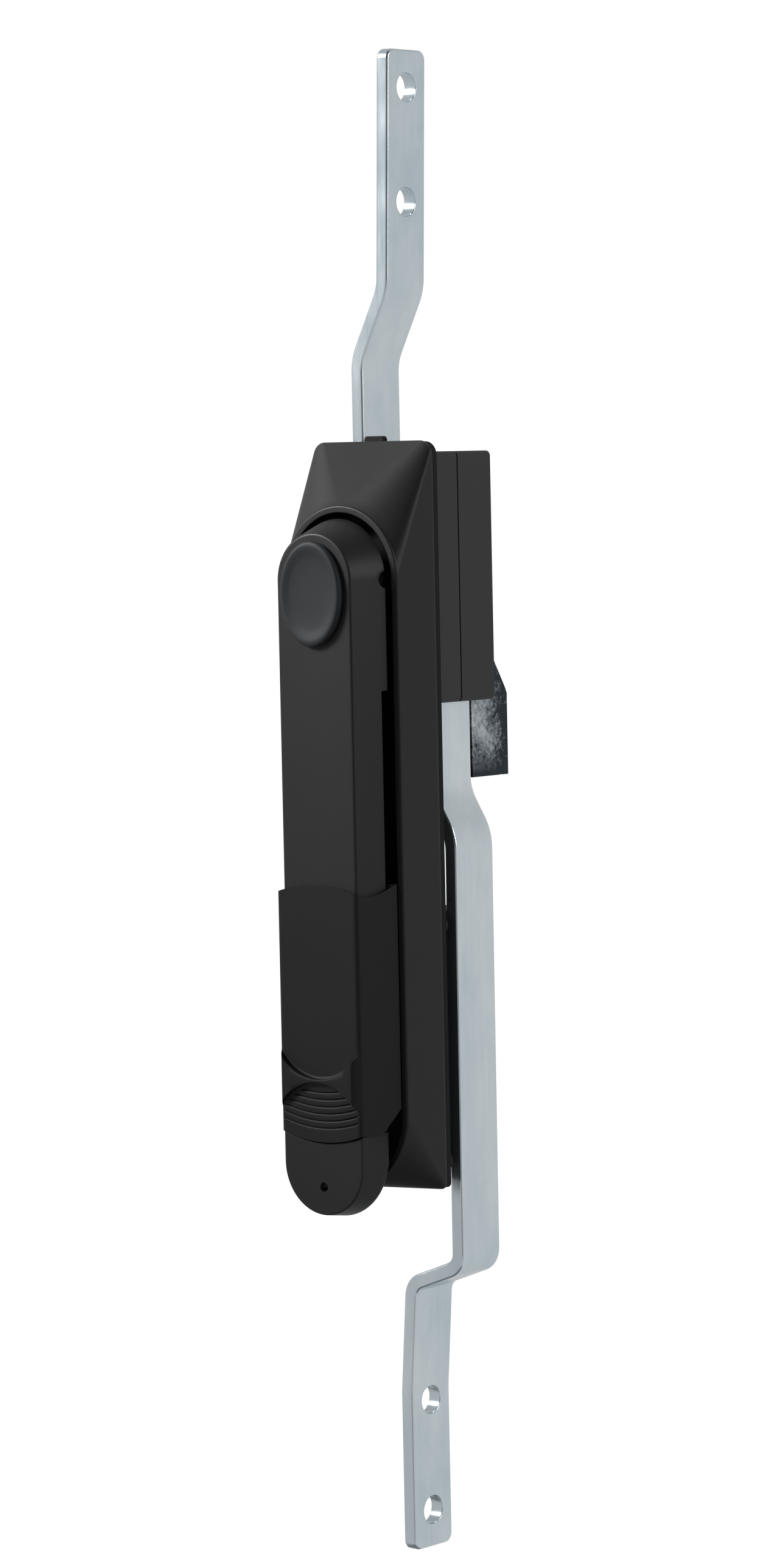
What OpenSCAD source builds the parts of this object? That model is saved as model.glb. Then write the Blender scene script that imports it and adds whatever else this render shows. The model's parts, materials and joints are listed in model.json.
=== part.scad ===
// Swing-handle rod lock for a cabinet door.
// X runs to the right, Y from the front of the door to its inside, Z up.
// The origin is on the spindle axis, at the door face under the gasket.

/* [Dish] */
// Length of the dish
dish_h = 200; // [196:1:212]
// Width of the dish
dish_w = 41; // [40:0.5:46]
// Height of the top edge above the spindle axis
dish_top = 36.5; // [34:0.5:42]
// Depth from the door face to the rim
dish_d = 17; // [16.4:0.2:18]
// Radius of the dish's upper corners at the door face
dish_corner = 4; // [2:0.5:6]
// Radius of the dish's lower corners at the door face
dish_foot_corner = 1.6; // [1:0.2:4]
// Height of the rim's lower end above the dish's lower end
rim_rise = 1.2; // [0.4:0.2:2]
// Inner radius of the pocket ends
pocket_r = 17.8; // [17.4:0.2:18.6]
// Width of the rim round the pocket
rim_w = 2; // [1.4:0.1:2.4]
// Thickness of the pocket floor
floor_t = 3.2; // [2.8:0.1:3.6]
// Thickness of the sealing gasket
gasket_t = 1.8; // [1.4:0.1:2]
// Width of the gasket tab at the top edge
tab_w = 6.5; // [4:0.5:10]

/* [Handle lever] */
// Width of the lever's front face
lever_w = 25.2; // [24.2:0.2:25.6]
// Distance of the lever's front face from the door face
lever_front = 27.8; // [26.8:0.1:28.4]
// Draft of the lever's sides, in degrees
lever_draft = 19.4; // [17:0.2:20]
// Wall thickness of the lever
lever_wall = 2.2; // [1.8:0.1:2.4]
// Overhang of the lever's tip beyond the dish's lower end
lever_over = 6.5; // [5:0.5:8]
// Clearance between the lever's deep skirt and the rim plane
skirt_gap = 0.35; // [0.3:0.05:0.8]
// Rear edge of the straight part, in front of the skirt
straight_step = 1.75; // [1.2:0.05:2.2]
// Length of the deep skirt below the spindle axis
skirt_len = 29.2; // [26:0.2:34]
// Width of the front face of the lever's tip
tip_w = 27.2; // [26.4:0.2:27.6]
// Step of the tip in front of the lever's face
tip_proud = 0.9; // [0.5:0.1:1.1]
// Draft of the tip's sides, in degrees
tip_draft = 8; // [5:0.5:12]
// Diameter of the pin hole in the tip
pinhole_d = 2.2; // [1.6:0.2:3]
// Distance of the pin hole from the end of the lever
pinhole_end = 8.8; // [7:0.2:10]

/* [Pivot] */
// Diameter of the cross pin
pin_d = 4.6; // [4:0.1:5]
// Distance of the cross pin from the door face
pin_y = 16.9; // [16.5:0.1:17.2]
// Length of the cross pin
pin_len = 30.8; // [29.6:0.2:31.4]
// Diameter of the rotor's flange
rotor_d = 30; // [26:0.5:33]
// Diameter of the rotor's journal
journal_d = 18; // [16:0.5:20]
// Across flats of the square spindle
spindle_af = 8; // [7:0.5:8.5]
// Width of the oval pivot cap
cap_w = 20.6; // [18:0.2:21.6]
// Height of the oval pivot cap
cap_h = 28; // [24:0.5:29]
// Drop of the cap's centre below the spindle axis
cap_drop = 3.4; // [2.8:0.1:4]
// Height of the cap above the lever's face
cap_proud = 2; // [1.2:0.1:2.6]

/* [Sliding cover] */
// Height of the cover's lower edge above the lever's end
cover_low = 21; // [20:0.5:22]
// Length of the sliding cover
cover_len = 68.5; // [66:0.5:70]
// Wall thickness of the cover
cover_wall = 1.4; // [1.2:0.05:1.5]
// Running gap between cover and lever
cover_gap = 0.15; // [0.12:0.01:0.3]
// Height of the raised waist
waist_proud = 1.6; // [1:0.1:2]
// Radius of the arcs above and below the waist
waist_r = 16.3; // [15:0.1:18]
// Height of the waist at the middle
waist_h = 1.3; // [1:0.1:2.5]
// Number of thumb grooves
grooves = 6; // [3:1:6]
// Pitch of the thumb grooves
groove_pitch = 1.9; // [1.7:0.05:2.1]
// Radius of the smile of the grooves and of the lower edge
smile_r = 42; // [38:1:50]

/* [Gearbox] */
// Width of the gearbox
box_w = 38.6; // [38:0.2:41]
// Height of the gearbox
box_h = 67; // [66:0.5:72]
// Depth of the gearbox behind the door face
box_d = 23.8; // [23.4:0.1:25]
// Depth of the seam between the two shells
box_seam = 9.5; // [8.8:0.1:12]
// Wall thickness of the gearbox
box_wall = 2.5; // [2:0.1:2.8]
// Pitch radius of the pinion
pinion_r = 10; // [9.8:0.05:10.2]
// Number of teeth of the pinion
pinion_teeth = 10; // [10:2:10]

/* [Rods] */
// Width of the flat rods
rod_w = 16; // [15:0.2:16.6]
// Thickness of the flat rods
rod_t = 4; // [3.6:0.1:4.2]
// Distance of the rods' centre line from the spindle axis inside the gearbox
rod_x = 11.2; // [11.1:0.05:11.3]
// Distance of the rods' middle from the door face
rod_y = 12.8; // [12.6:0.1:13.2]
// Height of the upper rod's end above the spindle axis
upper_end = 141.2; // [136:0.5:160]
// Drop of the lower rod's end below the spindle axis
lower_end = 265.5; // [258:0.5:290]
// Diameter of the fixing holes
rod_hole_d = 7.8; // [6:0.2:9]
// Distance between the two fixing holes of a rod
rod_hole_pitch = 30.5; // [26:0.5:32]
// Distance of the outer hole from the rod's end
rod_hole_end = 10.1; // [8:0.2:12]
// Offset of the upper rod's end from the middle
upper_end_x = 0.1; // [-2:0.1:2]
// Offset of the upper rod above its crank
upper_crank_x = -1.8; // [-3:0.1:0]
// Offset of the lower rod's end from the middle
lower_end_x = -0.9; // [-3:0.1:2]
// Offset of the lower rod beside the top of the well
lower_mid_x = 18.2; // [17:0.1:18.4]
// Lean of the lower rod's long stretch towards the middle
lower_lean = 0.3; // [0:0.1:1]
// Radius of the bends along the rods' centre line
bend_r = 5; // [4:0.5:6]
// Radius of the rods' end corners
rod_corner = 2.6; // [1:0.2:4]

/* [Latch cam] */
// Width of the cam
cam_w = 21.4; // [20:0.2:23]
// Thickness of the cam's sheet
cam_t = 2.2; // [2:0.1:2.5]
// Reach of the cam below the spindle axis
cam_reach = 55; // [50:0.5:62]
// Step back from the cam's hub to its latch face
cam_step = 13.5; // [11:0.5:16]

/* [Lock] */
// Height of the cylinder's axis above the dish's lower end
lock_up = 43.8; // [43.4:0.1:44.4]
// Diameter of the cylinder's round part
lock_d = 17; // [16.4:0.1:17.4]
// Width of the cylinder's tail
lock_tail_w = 10; // [9:0.2:10.6]
// Height of the cylinder's profile
lock_h = 33; // [32:0.2:33.4]
// Diameter of the key plug
plug_d = 13; // [12:0.2:13.4]
// Width of the locking bar
bar_w = 8; // [7:0.2:8.4]
// Thickness of the locking bar
bar_t = 1.8; // [1.5:0.1:1.9]
// Travel of the locking bar
bar_travel = 6; // [5.4:0.1:6.2]
// Width of the well behind the cylinder
well_w = 26; // [25:0.2:26.6]
// Depth of the well behind the door face
well_d = 20; // [18.6:0.1:21]

/* [Hidden] */

$fn = 96;
fit = 0.05;           // running fit of a journal in its bore, on the radius
gap = 0.3;            // plain working gap
cut = 1;              // how far a cutter runs past a face

// Dish
dish_bottom = dish_top - dish_h;
rim_r = pocket_r + rim_w;
pocket_end = dish_bottom + rim_rise + rim_r;  // centre of the pocket's lower round end
floor_back = -gasket_t;
floor_front = floor_back - floor_t;
rim_y = -dish_d;
back_band = 1;                                // straight band at the dish's back edge

// Pivot
axis_y = -pin_y;
pin_r = pin_d / 2;
journal_r = journal_d / 2;
flange_t = 2.2;
flange_front = floor_front - gap - flange_t;
journal_end = -gap;
ring_t = 0.9;
ring_y = floor_back + 0.15;
ring_groove = 1;
block_w = 12;                                 // rotor's block between the springs
block_r = 6;
ear_in = 9.4;
ear_out = 14.4;
ear_r = 4.8;
wire_r = 0.45;
wire_pitch = 1;
leg_r = 0.37;

// Lever
lever_len = lever_over - dish_bottom;
flank = tan(lever_draft);
lever_y = -lever_front;
lever_hw = lever_w / 2;
skirt_y = rim_y - skirt_gap;
straight_y = skirt_y - straight_step;
wall_x = lever_wall / cos(lever_draft);
edge_c = 0.5;                                 // chamfer of the lever's front edges
tip_hw = tip_w / 2;
tip_y = lever_y - tip_proud;
tip_flank = tan(tip_draft);
tip_r_rear = tip_hw + tip_flank * (straight_y - tip_y);
tip_z = -lever_len + tip_r_rear;              // centre of the tip's round end
rib_z = -13;                                  // heel rib that the locking bar enters
rib_t = 3;
rib_w = 16;
stiffener_t = 1.6;

// Sliding cover
cover_in_y = lever_y - cover_gap;
cover_y = cover_in_y - cover_wall;
cover_hw = lever_hw + cover_gap + cover_wall / cos(lever_draft)
           - flank * (cover_gap + cover_wall);
cover_rear = skirt_y;
lip_in = 13.2;                                // inner edge of the cover's rear lips
smile_z = -lever_len + cover_low;             // lowest point of the cover's lower edge
cover_top = smile_z + cover_len;
top_arc_r = 45;
arc_gap = 0.25;                               // seam between cover and tip
waist_y = cover_y - waist_proud;
waist_hw = cover_hw - waist_proud;
waist_top = smile_z + 17.1;                   // lowest point of the arc above the waist
waist_low = waist_top - waist_h;              // highest point of the arc below the waist
groove_first = smile_z + 3.8;
groove_r = 0.35;

// Gearbox
box_hw = box_w / 2;
box_hh = box_h / 2;
box_corner = 1.5;
seam_step = 0.35;
seam_t = 0.45;
box_in_hw = box_hw - 2.2;
screw_x = box_hw - 3.2;
screw_z = box_hh - 5.5;
boss_r = 2.3;
clamp_z = 26;
clamp_r = 2.5;
clamp_boss_r = 5.4;
clamp_head_r = 4.2;
clamp_head_t = 4.6;
clamp_tip = floor_front - 3.4;                // tip of the clamp screws, in the dish
hub_r = 7.2;
shoulder_r = 8.8;
tooth_w = 7.4;
window_w = 8;
tip_over = 2.2;                               // tooth tips beyond the pitch circle
rack_pitch = 2 * PI * pinion_r / pinion_teeth;
web_h = 2.6;                                  // bar of steel left between two windows
rod_gap = 0.2;
rod_front = rod_y - rod_w / 2;
rod_rear = rod_y + rod_w / 2;
rod_inner_end = 12.5;
rack_windows = 6;

// Cam, washer and screw
cam_y = box_d + 0.3;
cam_hub_r = cam_w / 2;
cam_slant_top = -10.5;
cam_slant_low = -32.7;
cam_flange_top = -27;
cam_corner = 4;
spindle_end = cam_y + cam_t - 0.3;
washer_t = 1.6;
washer_r = 8;
bolt_r = 3;
bolt_head_t = 4;
bolt_head_r = 5.77;

// Lock
lock_cz = dish_bottom + lock_up;
lock_r = lock_d / 2;
lock_tail_r = lock_tail_w / 2;
lock_bottom = lock_cz + lock_r - lock_h;
lock_front = rim_y + 0.5;
lock_back = 10;
plug_r = plug_d / 2;
lock_fit = 0.1;
window_gap = 0.4;
well_top = lock_cz + 32.2;
well_bottom = lock_cz - 42.3;
well_flange_w = 38;
well_flange_t = 1.6;
well_wall = 1.8;
well_inset = 2.2;                             // well body inside its flange, top and bottom
well_screw_x = 16;
well_screw_in = 5.5;
cyl_screw_y = 6.2;
bar_hw = bar_w / 2;
bar_y = floor_front - 4.7;                    // rear face of the locking bar
bar_top = rib_z - 2.8;                        // clear of the heel rib when the lever tilts
leg_top = lock_cz + 18.7;
leg_low = leg_top - 6;
snail_r = 4.7;                                // low radius of the plug's snail cam
tail_r = 3.2;
nose_r = 1.5;
cyl_cam_y = lock_back + 0.8;
cyl_cam_t = 4.6;
nose_gap = 0.42;
nose_z = lock_cz + snail_r + nose_gap;        // lowest point of the locking bar's nose
guide_z = [-40, lock_cz + 34.7];
guide_w = 16;
guide_h = 8;
guide_t = 1.9;
guide_lip = 1.5;
cyl_screw_in = 7;                             // reach of the cylinder's screw into its tail
detent_z = lock_cz + 24.7;
detent_r = 1.4;
detent_end = lever_y + 6;
stiffener_z = [-50, lock_cz + 49.7];

// Corners of the rods' centre lines, as X and Z
upper_line = [[-rod_x, -rod_inner_end], [-rod_x, box_hh + 25], [upper_crank_x, box_hh + 43.7],
              [upper_end_x, upper_end]];
lower_line = [[rod_x, rod_inner_end], [rod_x, -box_hh - 24.5], [lower_mid_x, -box_hh - 36],
              [lower_mid_x - lower_lean, dish_bottom - 22.3], [1.2, dish_bottom - 28.5],
              [lower_end_x, dish_bottom - 58.5], [lower_end_x, -lower_end]];

// Directions

// Draws an outline given in X and Z, from y0 to y1.
module xz(y0, y1) {
    translate([0, y1, 0]) rotate([90, 0, 0]) linear_extrude(y1 - y0) children();
}

// Draws an outline given in Y and Z, from x0 to x1.
module yz(x0, x1) {
    translate([x0, 0, 0]) rotate([90, 0, 90]) linear_extrude(x1 - x0) children();
}

// Round bar along Y, through the point x, z.
module y_bar(r, y0, y1, x = 0, z = 0) {
    translate([x, y0, z]) rotate([-90, 0, 0]) cylinder(r = r, h = y1 - y0);
}

// Round bar along X, through the point y, z.
module x_bar(r, x0, x1, y = 0, z = 0) {
    translate([x0, y, z]) rotate([0, 90, 0]) cylinder(r = r, h = x1 - x0);
}

// Block between two corners.
module block(a, b) {
    translate(a) cube(b - a);
}

module both_sides() {
    children();
    mirror([1, 0, 0]) children();
}

// Outlines

// Rectangle with round corners, between two corners of the plane.
module round_rect(a, b, r) {
    translate([a[0] + r, a[1]]) square([b[0] - a[0] - 2 * r, b[1] - a[1]]);
    translate([a[0], a[1] + r]) square([b[0] - a[0], b[1] - a[1] - 2 * r]);
    for (x = [a[0] + r, b[0] - r], y = [a[1] + r, b[1] - r])
        translate([x, y]) circle(r);
}

// Outline with two round ends on the line x = 0, from height z0 to z1 between centres.
module stadium(r, z0, z1) {
    translate([0, z0]) circle(r);
    translate([0, z1]) circle(r);
    translate([-r, z0]) square([2 * r, z1 - z0]);
}

// Keyed profile of the lock cylinder, grown by g.
module lock_profile(g = 0) {
    translate([0, lock_cz]) circle(lock_r + g);
    stadium(lock_tail_r + g, lock_bottom + lock_tail_r, lock_cz);
}

// Ellipse as a polygon.
module oval(w, h) {
    polygon([for (i = [0:71]) [w / 2 * cos(i * 5), h / 2 * sin(i * 5)]]);
}

// Area above the arc whose lowest point is at height z, as wide as w.
module above_smile(z, r, w, h) {
    difference() {
        translate([-w / 2, z]) square([w, h]);
        intersection() {
            translate([-w / 2, z - cut]) square([w, h + cut]);
            difference() {
                translate([-w, z - 2 * cut]) square([2 * w, r]);
                translate([0, z + r]) circle(r);
            }
        }
    }
}

// Bent strip

function unit(v) = v / norm(v);

function bend(a, b, c, r, n = 6) =
    let (u = unit(a - b), v = unit(c - b), half = acos(u * v) / 2,
         s = u * (r / tan(half)), e = v * (r / tan(half)), o = unit(u + v) * (r / sin(half)))
    [for (i = [0:n]) b + o + r * unit((s - o) * (1 - i / n) + (e - o) * (i / n))];

function bent_line(p, r) =
    [p[0], for (i = [1:len(p) - 2]) each bend(p[i - 1], p[i], p[i + 1], r), p[len(p) - 1]];

function beside(line, d) =
    [for (i = [0:len(line) - 1])
        let (t = unit(line[min(i + 1, len(line) - 1)] - line[max(i - 1, 0)]))
        line[i] + d * [-t[1], t[0]]];

// Strip of thickness t along a line of points, bent with radius r.
module strip(points, t, r) {
    line = bent_line(points, r);
    left = beside(line, t / 2);
    right = beside(line, -t / 2);
    polygon(concat(left, [for (i = [len(right) - 1:-1:0]) right[i]]));
}

// Root body: dish, gasket, gearbox, well and lock cylinder

module dish_outline(inset = 0) {
    round_rect([-dish_w / 2 + inset, dish_bottom + dish_corner + 1],
               [dish_w / 2 - inset, dish_top - inset], dish_corner - inset);
    round_rect([-dish_w / 2 + inset, dish_bottom + inset],
               [dish_w / 2 - inset, dish_top - dish_corner - 1], dish_foot_corner - inset);
}

module dish_body() {
    hull() {
        xz(floor_back - back_band, floor_back) dish_outline($fn = 32);
        xz(rim_y + 0.4, rim_y + 0.9) stadium(rim_r, pocket_end, 0, $fn = 64);
        xz(rim_y, rim_y + 0.4) stadium(rim_r - 0.4, pocket_end, 0, $fn = 64);
    }
}

module dish() {
    color([0.2, 0.2, 0.21])
    difference() {
        union() {
            difference() {
                dish_body();
                xz(rim_y - cut, floor_front) stadium(pocket_r, pocket_end, 0);
            }
            y_bar(clamp_boss_r - 0.5, clamp_tip - 0.4, floor_front + 0.1, 0, -clamp_z);
        }

        y_bar(journal_r + fit, floor_front - cut, cut);
        for (z = [-clamp_z, clamp_z]) y_bar(clamp_r, clamp_tip - 0.4, cut, 0, z);
        xz(floor_front - cut, cut) lock_profile(lock_fit);
        block([-bar_hw - gap, floor_front - cut, leg_low - gap],
              [bar_hw + gap, cut, leg_top + bar_travel + gap]);
        for (x = [-well_screw_x, well_screw_x], z = [well_bottom + well_screw_in, well_top - well_screw_in])
            y_bar(1.5, floor_front + 0.4, cut, x, z);
    }
}

module gasket() {
    color([0.07, 0.07, 0.07])
    difference() {
        union() {
            xz(floor_back, 0) dish_outline(0.25);
            xz(floor_back, 0) round_rect([-tab_w / 2, dish_top - 3], [tab_w / 2, dish_top + 1.4], 1);
        }
        y_bar(12.6, -gasket_t - cut, cut);
        for (z = [-clamp_z, clamp_z]) y_bar(clamp_r + 0.4, -gasket_t - cut, cut, 0, z);
        block([-well_w / 2 + well_wall, -gasket_t - cut, well_bottom + well_inset + well_wall],
              [well_w / 2 - well_wall, cut, well_top - well_inset - well_wall]);
        for (x = [-well_screw_x, well_screw_x], z = [well_bottom + well_screw_in, well_top - well_screw_in])
            y_bar(1.7, -gasket_t - cut, cut, x, z);
    }
}

module box_outline(inset = 0) {
    round_rect([-box_hw + inset, -box_hh + inset], [box_hw - inset, box_hh - inset], box_corner);
}

// Slots in the box's ends, one for each rod.
module rod_slots() {
    for (s = [-1, 1])
        block([-s * rod_x - rod_t / 2 - rod_gap, rod_front - rod_gap, s > 0 ? 0 : -box_hh - cut],
              [-s * rod_x + rod_t / 2 + rod_gap, rod_rear + rod_gap, s > 0 ? box_hh + cut : 0]);
}

module box_inside(y0, y1) {
    difference() {
        xz(y0, y1) square([2 * box_in_hw, 2 * (box_hh - box_wall)], center = true);
        for (x = [-screw_x, screw_x], z = [-screw_z, screw_z]) y_bar(boss_r, y0 - cut, y1 + cut, x, z);
        for (z = [-clamp_z, clamp_z]) y_bar(clamp_boss_r, y0 - cut, y1 + cut, 0, z);
    }
}

module gearbox_front() {
    color([0.22, 0.22, 0.22])
    difference() {
        xz(0, box_seam) box_outline();
        box_inside(box_wall, box_seam + cut);
        rod_slots();
        y_bar(hub_r + fit, -cut, box_seam);
        for (x = [-screw_x, screw_x], z = [-screw_z, screw_z])
            y_bar(1.25, box_wall + 0.2, box_seam + cut, x, z);
        for (z = [-clamp_z, clamp_z]) y_bar(clamp_r + 0.2, -cut, box_seam + cut, 0, z);
    }
}

module gearbox_rear() {
    color([0.23, 0.23, 0.23])
    difference() {
        union() {
            xz(box_seam + seam_t, box_d) box_outline();
            xz(box_seam, box_seam + seam_t) box_outline(seam_step);
        }
        box_inside(box_seam - cut, box_d - box_wall);
        rod_slots();
        y_bar(hub_r + fit, box_seam - cut, box_d + cut);
        for (x = [-screw_x, screw_x], z = [-screw_z, screw_z]) {
            y_bar(1.4, box_seam - cut, box_d + cut, x, z);
            y_bar(2.4, box_d - 3, box_d + cut, x, z);
        }
        for (z = [-clamp_z, clamp_z]) {
            y_bar(clamp_r + 0.2, box_seam - cut, box_d + cut, 0, z);
            y_bar(clamp_head_r + 0.3, box_d - 0.4 - clamp_head_t, box_d + cut, 0, z);
        }
    }
}

// Cap screw along Y, its head towards the inside of the door.
module cap_screw(r, head_r, head_t, tip, seat, socket_af) {
    difference() {
        union() {
            y_bar(r, tip, seat);
            y_bar(head_r, seat, seat + head_t);
        }
        translate([0, seat + head_t * 0.45, 0]) rotate([-90, 0, 0])
            cylinder(r = socket_af / sqrt(3), h = head_t, $fn = 6);
    }
}

module gearbox_screws() {
    color([0.62, 0.65, 0.68])
    for (x = [-screw_x, screw_x], z = [-screw_z, screw_z]) translate([x, 0, z])
        cap_screw(1.25, 2.25, 2.4, box_wall + 0.4, box_d - 3, 2);
}

module clamp_screws() {
    color([0.62, 0.65, 0.68])
    for (z = [-clamp_z, clamp_z]) translate([0, 0, z])
        cap_screw(clamp_r, clamp_head_r, clamp_head_t, clamp_tip, box_d - 0.4 - clamp_head_t, 4);
}

module lock_well() {
    color([0.2, 0.2, 0.2])
    difference() {
        union() {
            xz(0, well_flange_t)
                round_rect([-well_flange_w / 2, well_bottom], [well_flange_w / 2, well_top], 2);
            xz(0, well_d)
                round_rect([-well_w / 2, well_bottom + well_inset], [well_w / 2, well_top - well_inset], 2);
        }
        block([-well_w / 2 + well_wall, -cut, well_bottom + well_inset + well_wall],
              [well_w / 2 - well_wall, well_d - well_wall, well_top - well_inset - well_wall]);
        for (x = [-well_screw_x, well_screw_x], z = [well_bottom + well_screw_in, well_top - well_screw_in])
            y_bar(1.7, -cut, well_flange_t + cut, x, z);
        translate([0, cyl_screw_y, well_bottom + 1])
            cylinder(r = 2.7, h = well_inset + well_wall);
    }
}

module well_screws() {
    color([0.62, 0.65, 0.68])
    for (x = [-well_screw_x, well_screw_x], z = [well_bottom + well_screw_in, well_top - well_screw_in])
        translate([x, 0, z]) cap_screw(1.5, 2.4, 1.6, floor_front + 0.6, well_flange_t, 2);
}

module lock_cylinder() {
    color([0.72, 0.72, 0.7])
    difference() {
        xz(lock_front, lock_back) lock_profile();
        y_bar(plug_r + fit, lock_front - cut, lock_back + cut, 0, lock_cz);
        translate([0, cyl_screw_y, lock_bottom - cut]) cylinder(r = 2.5, h = cyl_screw_in + 1 + cut);
    }
}

module cylinder_screw() {
    seat = well_bottom + well_inset;
    color([0.62, 0.65, 0.68])
    translate([0, cyl_screw_y, 0]) difference() {
        union() {
            translate([0, 0, seat]) cylinder(r = 2.5, h = lock_bottom + cyl_screw_in - seat);
            translate([0, 0, seat - 2.6]) cylinder(r = 3.8, h = 2.6);
        }
        translate([0, 0, seat - 2.6 - cut]) cylinder(r = 1.7, h = 1.5 + cut, $fn = 6);
    }
}

module bar_guides() {
    color([0.6, 0.62, 0.64])
    for (z = guide_z) translate([0, 0, z]) difference() {
        block([-guide_w / 2, bar_y - bar_t - 0.2 - guide_t, -guide_h / 2],
              [guide_w / 2, floor_front, guide_h / 2]);
        block([-bar_hw - 0.2, bar_y - bar_t - 0.2, -guide_h / 2 - cut],
              [bar_hw + 0.2, bar_y + 0.2, guide_h / 2 + cut]);
        block([-bar_hw + 1, bar_y + 0.2 - cut, -guide_h / 2 - cut],
              [bar_hw - 1, floor_front - guide_lip, guide_h / 2 + cut]);
    }
}

// Turning body: rotor, spindle, pinion and cam

module square_bar(af, y0, y1) {
    block([-af / 2, y0, -af / 2], [af / 2, y1, af / 2]);
}

module rotor() {
    color([0.55, 0.56, 0.58])
    difference() {
        union() {
            y_bar(rotor_d / 2, flange_front, flange_front + flange_t);
            y_bar(journal_r, flange_front, journal_end);
            block([-block_w / 2, axis_y, -block_r], [block_w / 2, flange_front + 0.1, block_r]);
            x_bar(block_r, -block_w / 2, block_w / 2, axis_y);
        }
        x_bar(pin_r, -block_w, block_w, axis_y);
        square_bar(spindle_af + 0.1, flange_front - 2, cut);
        difference() {
            y_bar(journal_r + cut, ring_y - 0.05, ring_y + ring_t + 0.05);
            y_bar(journal_r - ring_groove, ring_y - cut, ring_y + ring_t + cut);
        }
    }
}

module retaining_ring() {
    color([0.4, 0.42, 0.44])
    difference() {
        y_bar(journal_r + 2.4, ring_y, ring_y + ring_t);
        y_bar(journal_r - ring_groove + 0.1, ring_y - cut, ring_y + ring_t + cut);
        block([-3, ring_y - cut, 0], [3, ring_y + ring_t + cut, 2 * journal_r]);
    }
}

module cross_pin() {
    color([0.75, 0.76, 0.78])
    x_bar(pin_r, -pin_len / 2, pin_len / 2, axis_y);
}

module tilt_spring() {
    coil = 3 * wire_pitch;
    color([0.5, 0.5, 0.52])
    both_sides() union() {
        difference() {
            union() {
                x_bar(pin_r + wire_r, block_w / 2, block_w / 2 + coil - 0.1, axis_y);
                for (i = [0:2]) x_bar(pin_r + 2 * wire_r, block_w / 2 + i * wire_pitch,
                                      block_w / 2 + i * wire_pitch + 2 * wire_r, axis_y);
            }
            x_bar(pin_r, block_w / 2 - cut, block_w / 2 + coil + cut, axis_y);
        }
        translate([block_w / 2 + wire_r, axis_y - 7.2, -pin_r - wire_r])
            rotate([-90, 0, 0]) cylinder(r = leg_r, h = 7.2);
        translate([block_w / 2 + coil - wire_r - 0.1, axis_y, -pin_r - wire_r])
            rotate([-90, 0, 0]) cylinder(r = leg_r, h = 8.6);
    }
}

module spindle() {
    color([0.7, 0.72, 0.74])
    difference() {
        square_bar(spindle_af, flange_front - 1.8, spindle_end);
        y_bar(bolt_r, spindle_end - 14, spindle_end + cut);
    }
}

// One tooth of the pinion, pointing along +X: full at the root, slim at the tip.
module tooth() {
    tip = pinion_r + tip_over;
    polygon([[pinion_r - 3, -1.75], [pinion_r, -1.35], [tip - 0.8, -0.85], [tip, -0.5],
             [tip, 0.5], [tip - 0.8, 0.85], [pinion_r, 1.35], [pinion_r - 3, 1.75]]);
}

module pinion() {
    color([0.6, 0.6, 0.58])
    difference() {
        union() {
            xz(rod_y - tooth_w / 2, rod_y + tooth_w / 2) {
                circle(pinion_r - 2.4);
                for (i = [0:pinion_teeth - 1]) rotate(i * 360 / pinion_teeth) tooth();
            }
            y_bar(hub_r, 0.4, box_d - 0.2);
            y_bar(shoulder_r, box_wall + gap, rod_y - tooth_w / 2);
            y_bar(shoulder_r, rod_y + tooth_w / 2, box_d - box_wall - gap);
        }
        square_bar(spindle_af + 0.1, -cut, box_d + cut);
    }
}

module cam() {
    hub_y = cam_y + cam_t / 2;
    latch_y = hub_y + cam_step;
    color([0.72, 0.75, 0.78])
    difference() {
        union() {
            intersection() {
                yz(-cam_w / 2, cam_w / 2)
                    strip([[hub_y, cam_hub_r], [hub_y, cam_slant_top],
                           [latch_y, cam_slant_low], [latch_y, -cam_reach]], cam_t, 4);
                xz(0, latch_y + cam_t) {
                    circle(cam_hub_r);
                    translate([-cam_w / 2, -cam_reach]) square([cam_w, cam_reach]);
                }
            }
            yz(cam_w / 2 - cam_t, cam_w / 2) intersection() {
                translate([cam_y + 0.2, -cam_reach])
                    square([latch_y + cam_t / 2 - cam_y - 0.2, cam_reach + cam_flange_top]);
                union() {
                    polygon([[cam_y, cam_flange_top], [latch_y - 4, cam_flange_top],
                             [latch_y + cam_t / 2, cam_slant_low],
                             [latch_y + cam_t / 2, -cam_reach + cam_corner],
                             [latch_y + cam_t / 2 - cam_corner, -cam_reach + cam_corner],
                             [latch_y + cam_t / 2 - cam_corner, -cam_reach], [cam_y, -cam_reach]]);
                    translate([latch_y + cam_t / 2 - cam_corner, -cam_reach + cam_corner])
                        circle(cam_corner);
                }
            }
        }
        square_bar(spindle_af + 0.1, cam_y - cut, cam_y + 2 * cam_t);
    }
}

module cam_washer() {
    color([0.7, 0.72, 0.74])
    difference() {
        y_bar(washer_r, cam_y + cam_t, cam_y + cam_t + washer_t);
        y_bar(bolt_r + 0.2, cam_y, cam_y + cam_t + washer_t + cut);
    }
}

module cam_screw() {
    color([0.72, 0.74, 0.77])
    union() {
        y_bar(bolt_r, spindle_end - 12, cam_y + cam_t + washer_t);
        translate([0, cam_y + cam_t + washer_t, 0]) rotate([-90, 0, 0])
            cylinder(r = bolt_head_r, h = bolt_head_t, $fn = 6);
    }
}

// Handle: lever, cap and detent

// Half section of a drafted shell, as X and Y points.
function half_section(hw, front, rear, slope, c) =
    [[0, front], [hw - c, front], [hw + slope * c, front + c],
     [hw + slope * (rear - front), rear], [0, rear]];

// Full turn of a half section about the line x = 0, z = z.
module turned(points, z) {
    translate([0, 0, z]) rotate([-90, 0, 0]) rotate_extrude() polygon(points);
}

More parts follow.
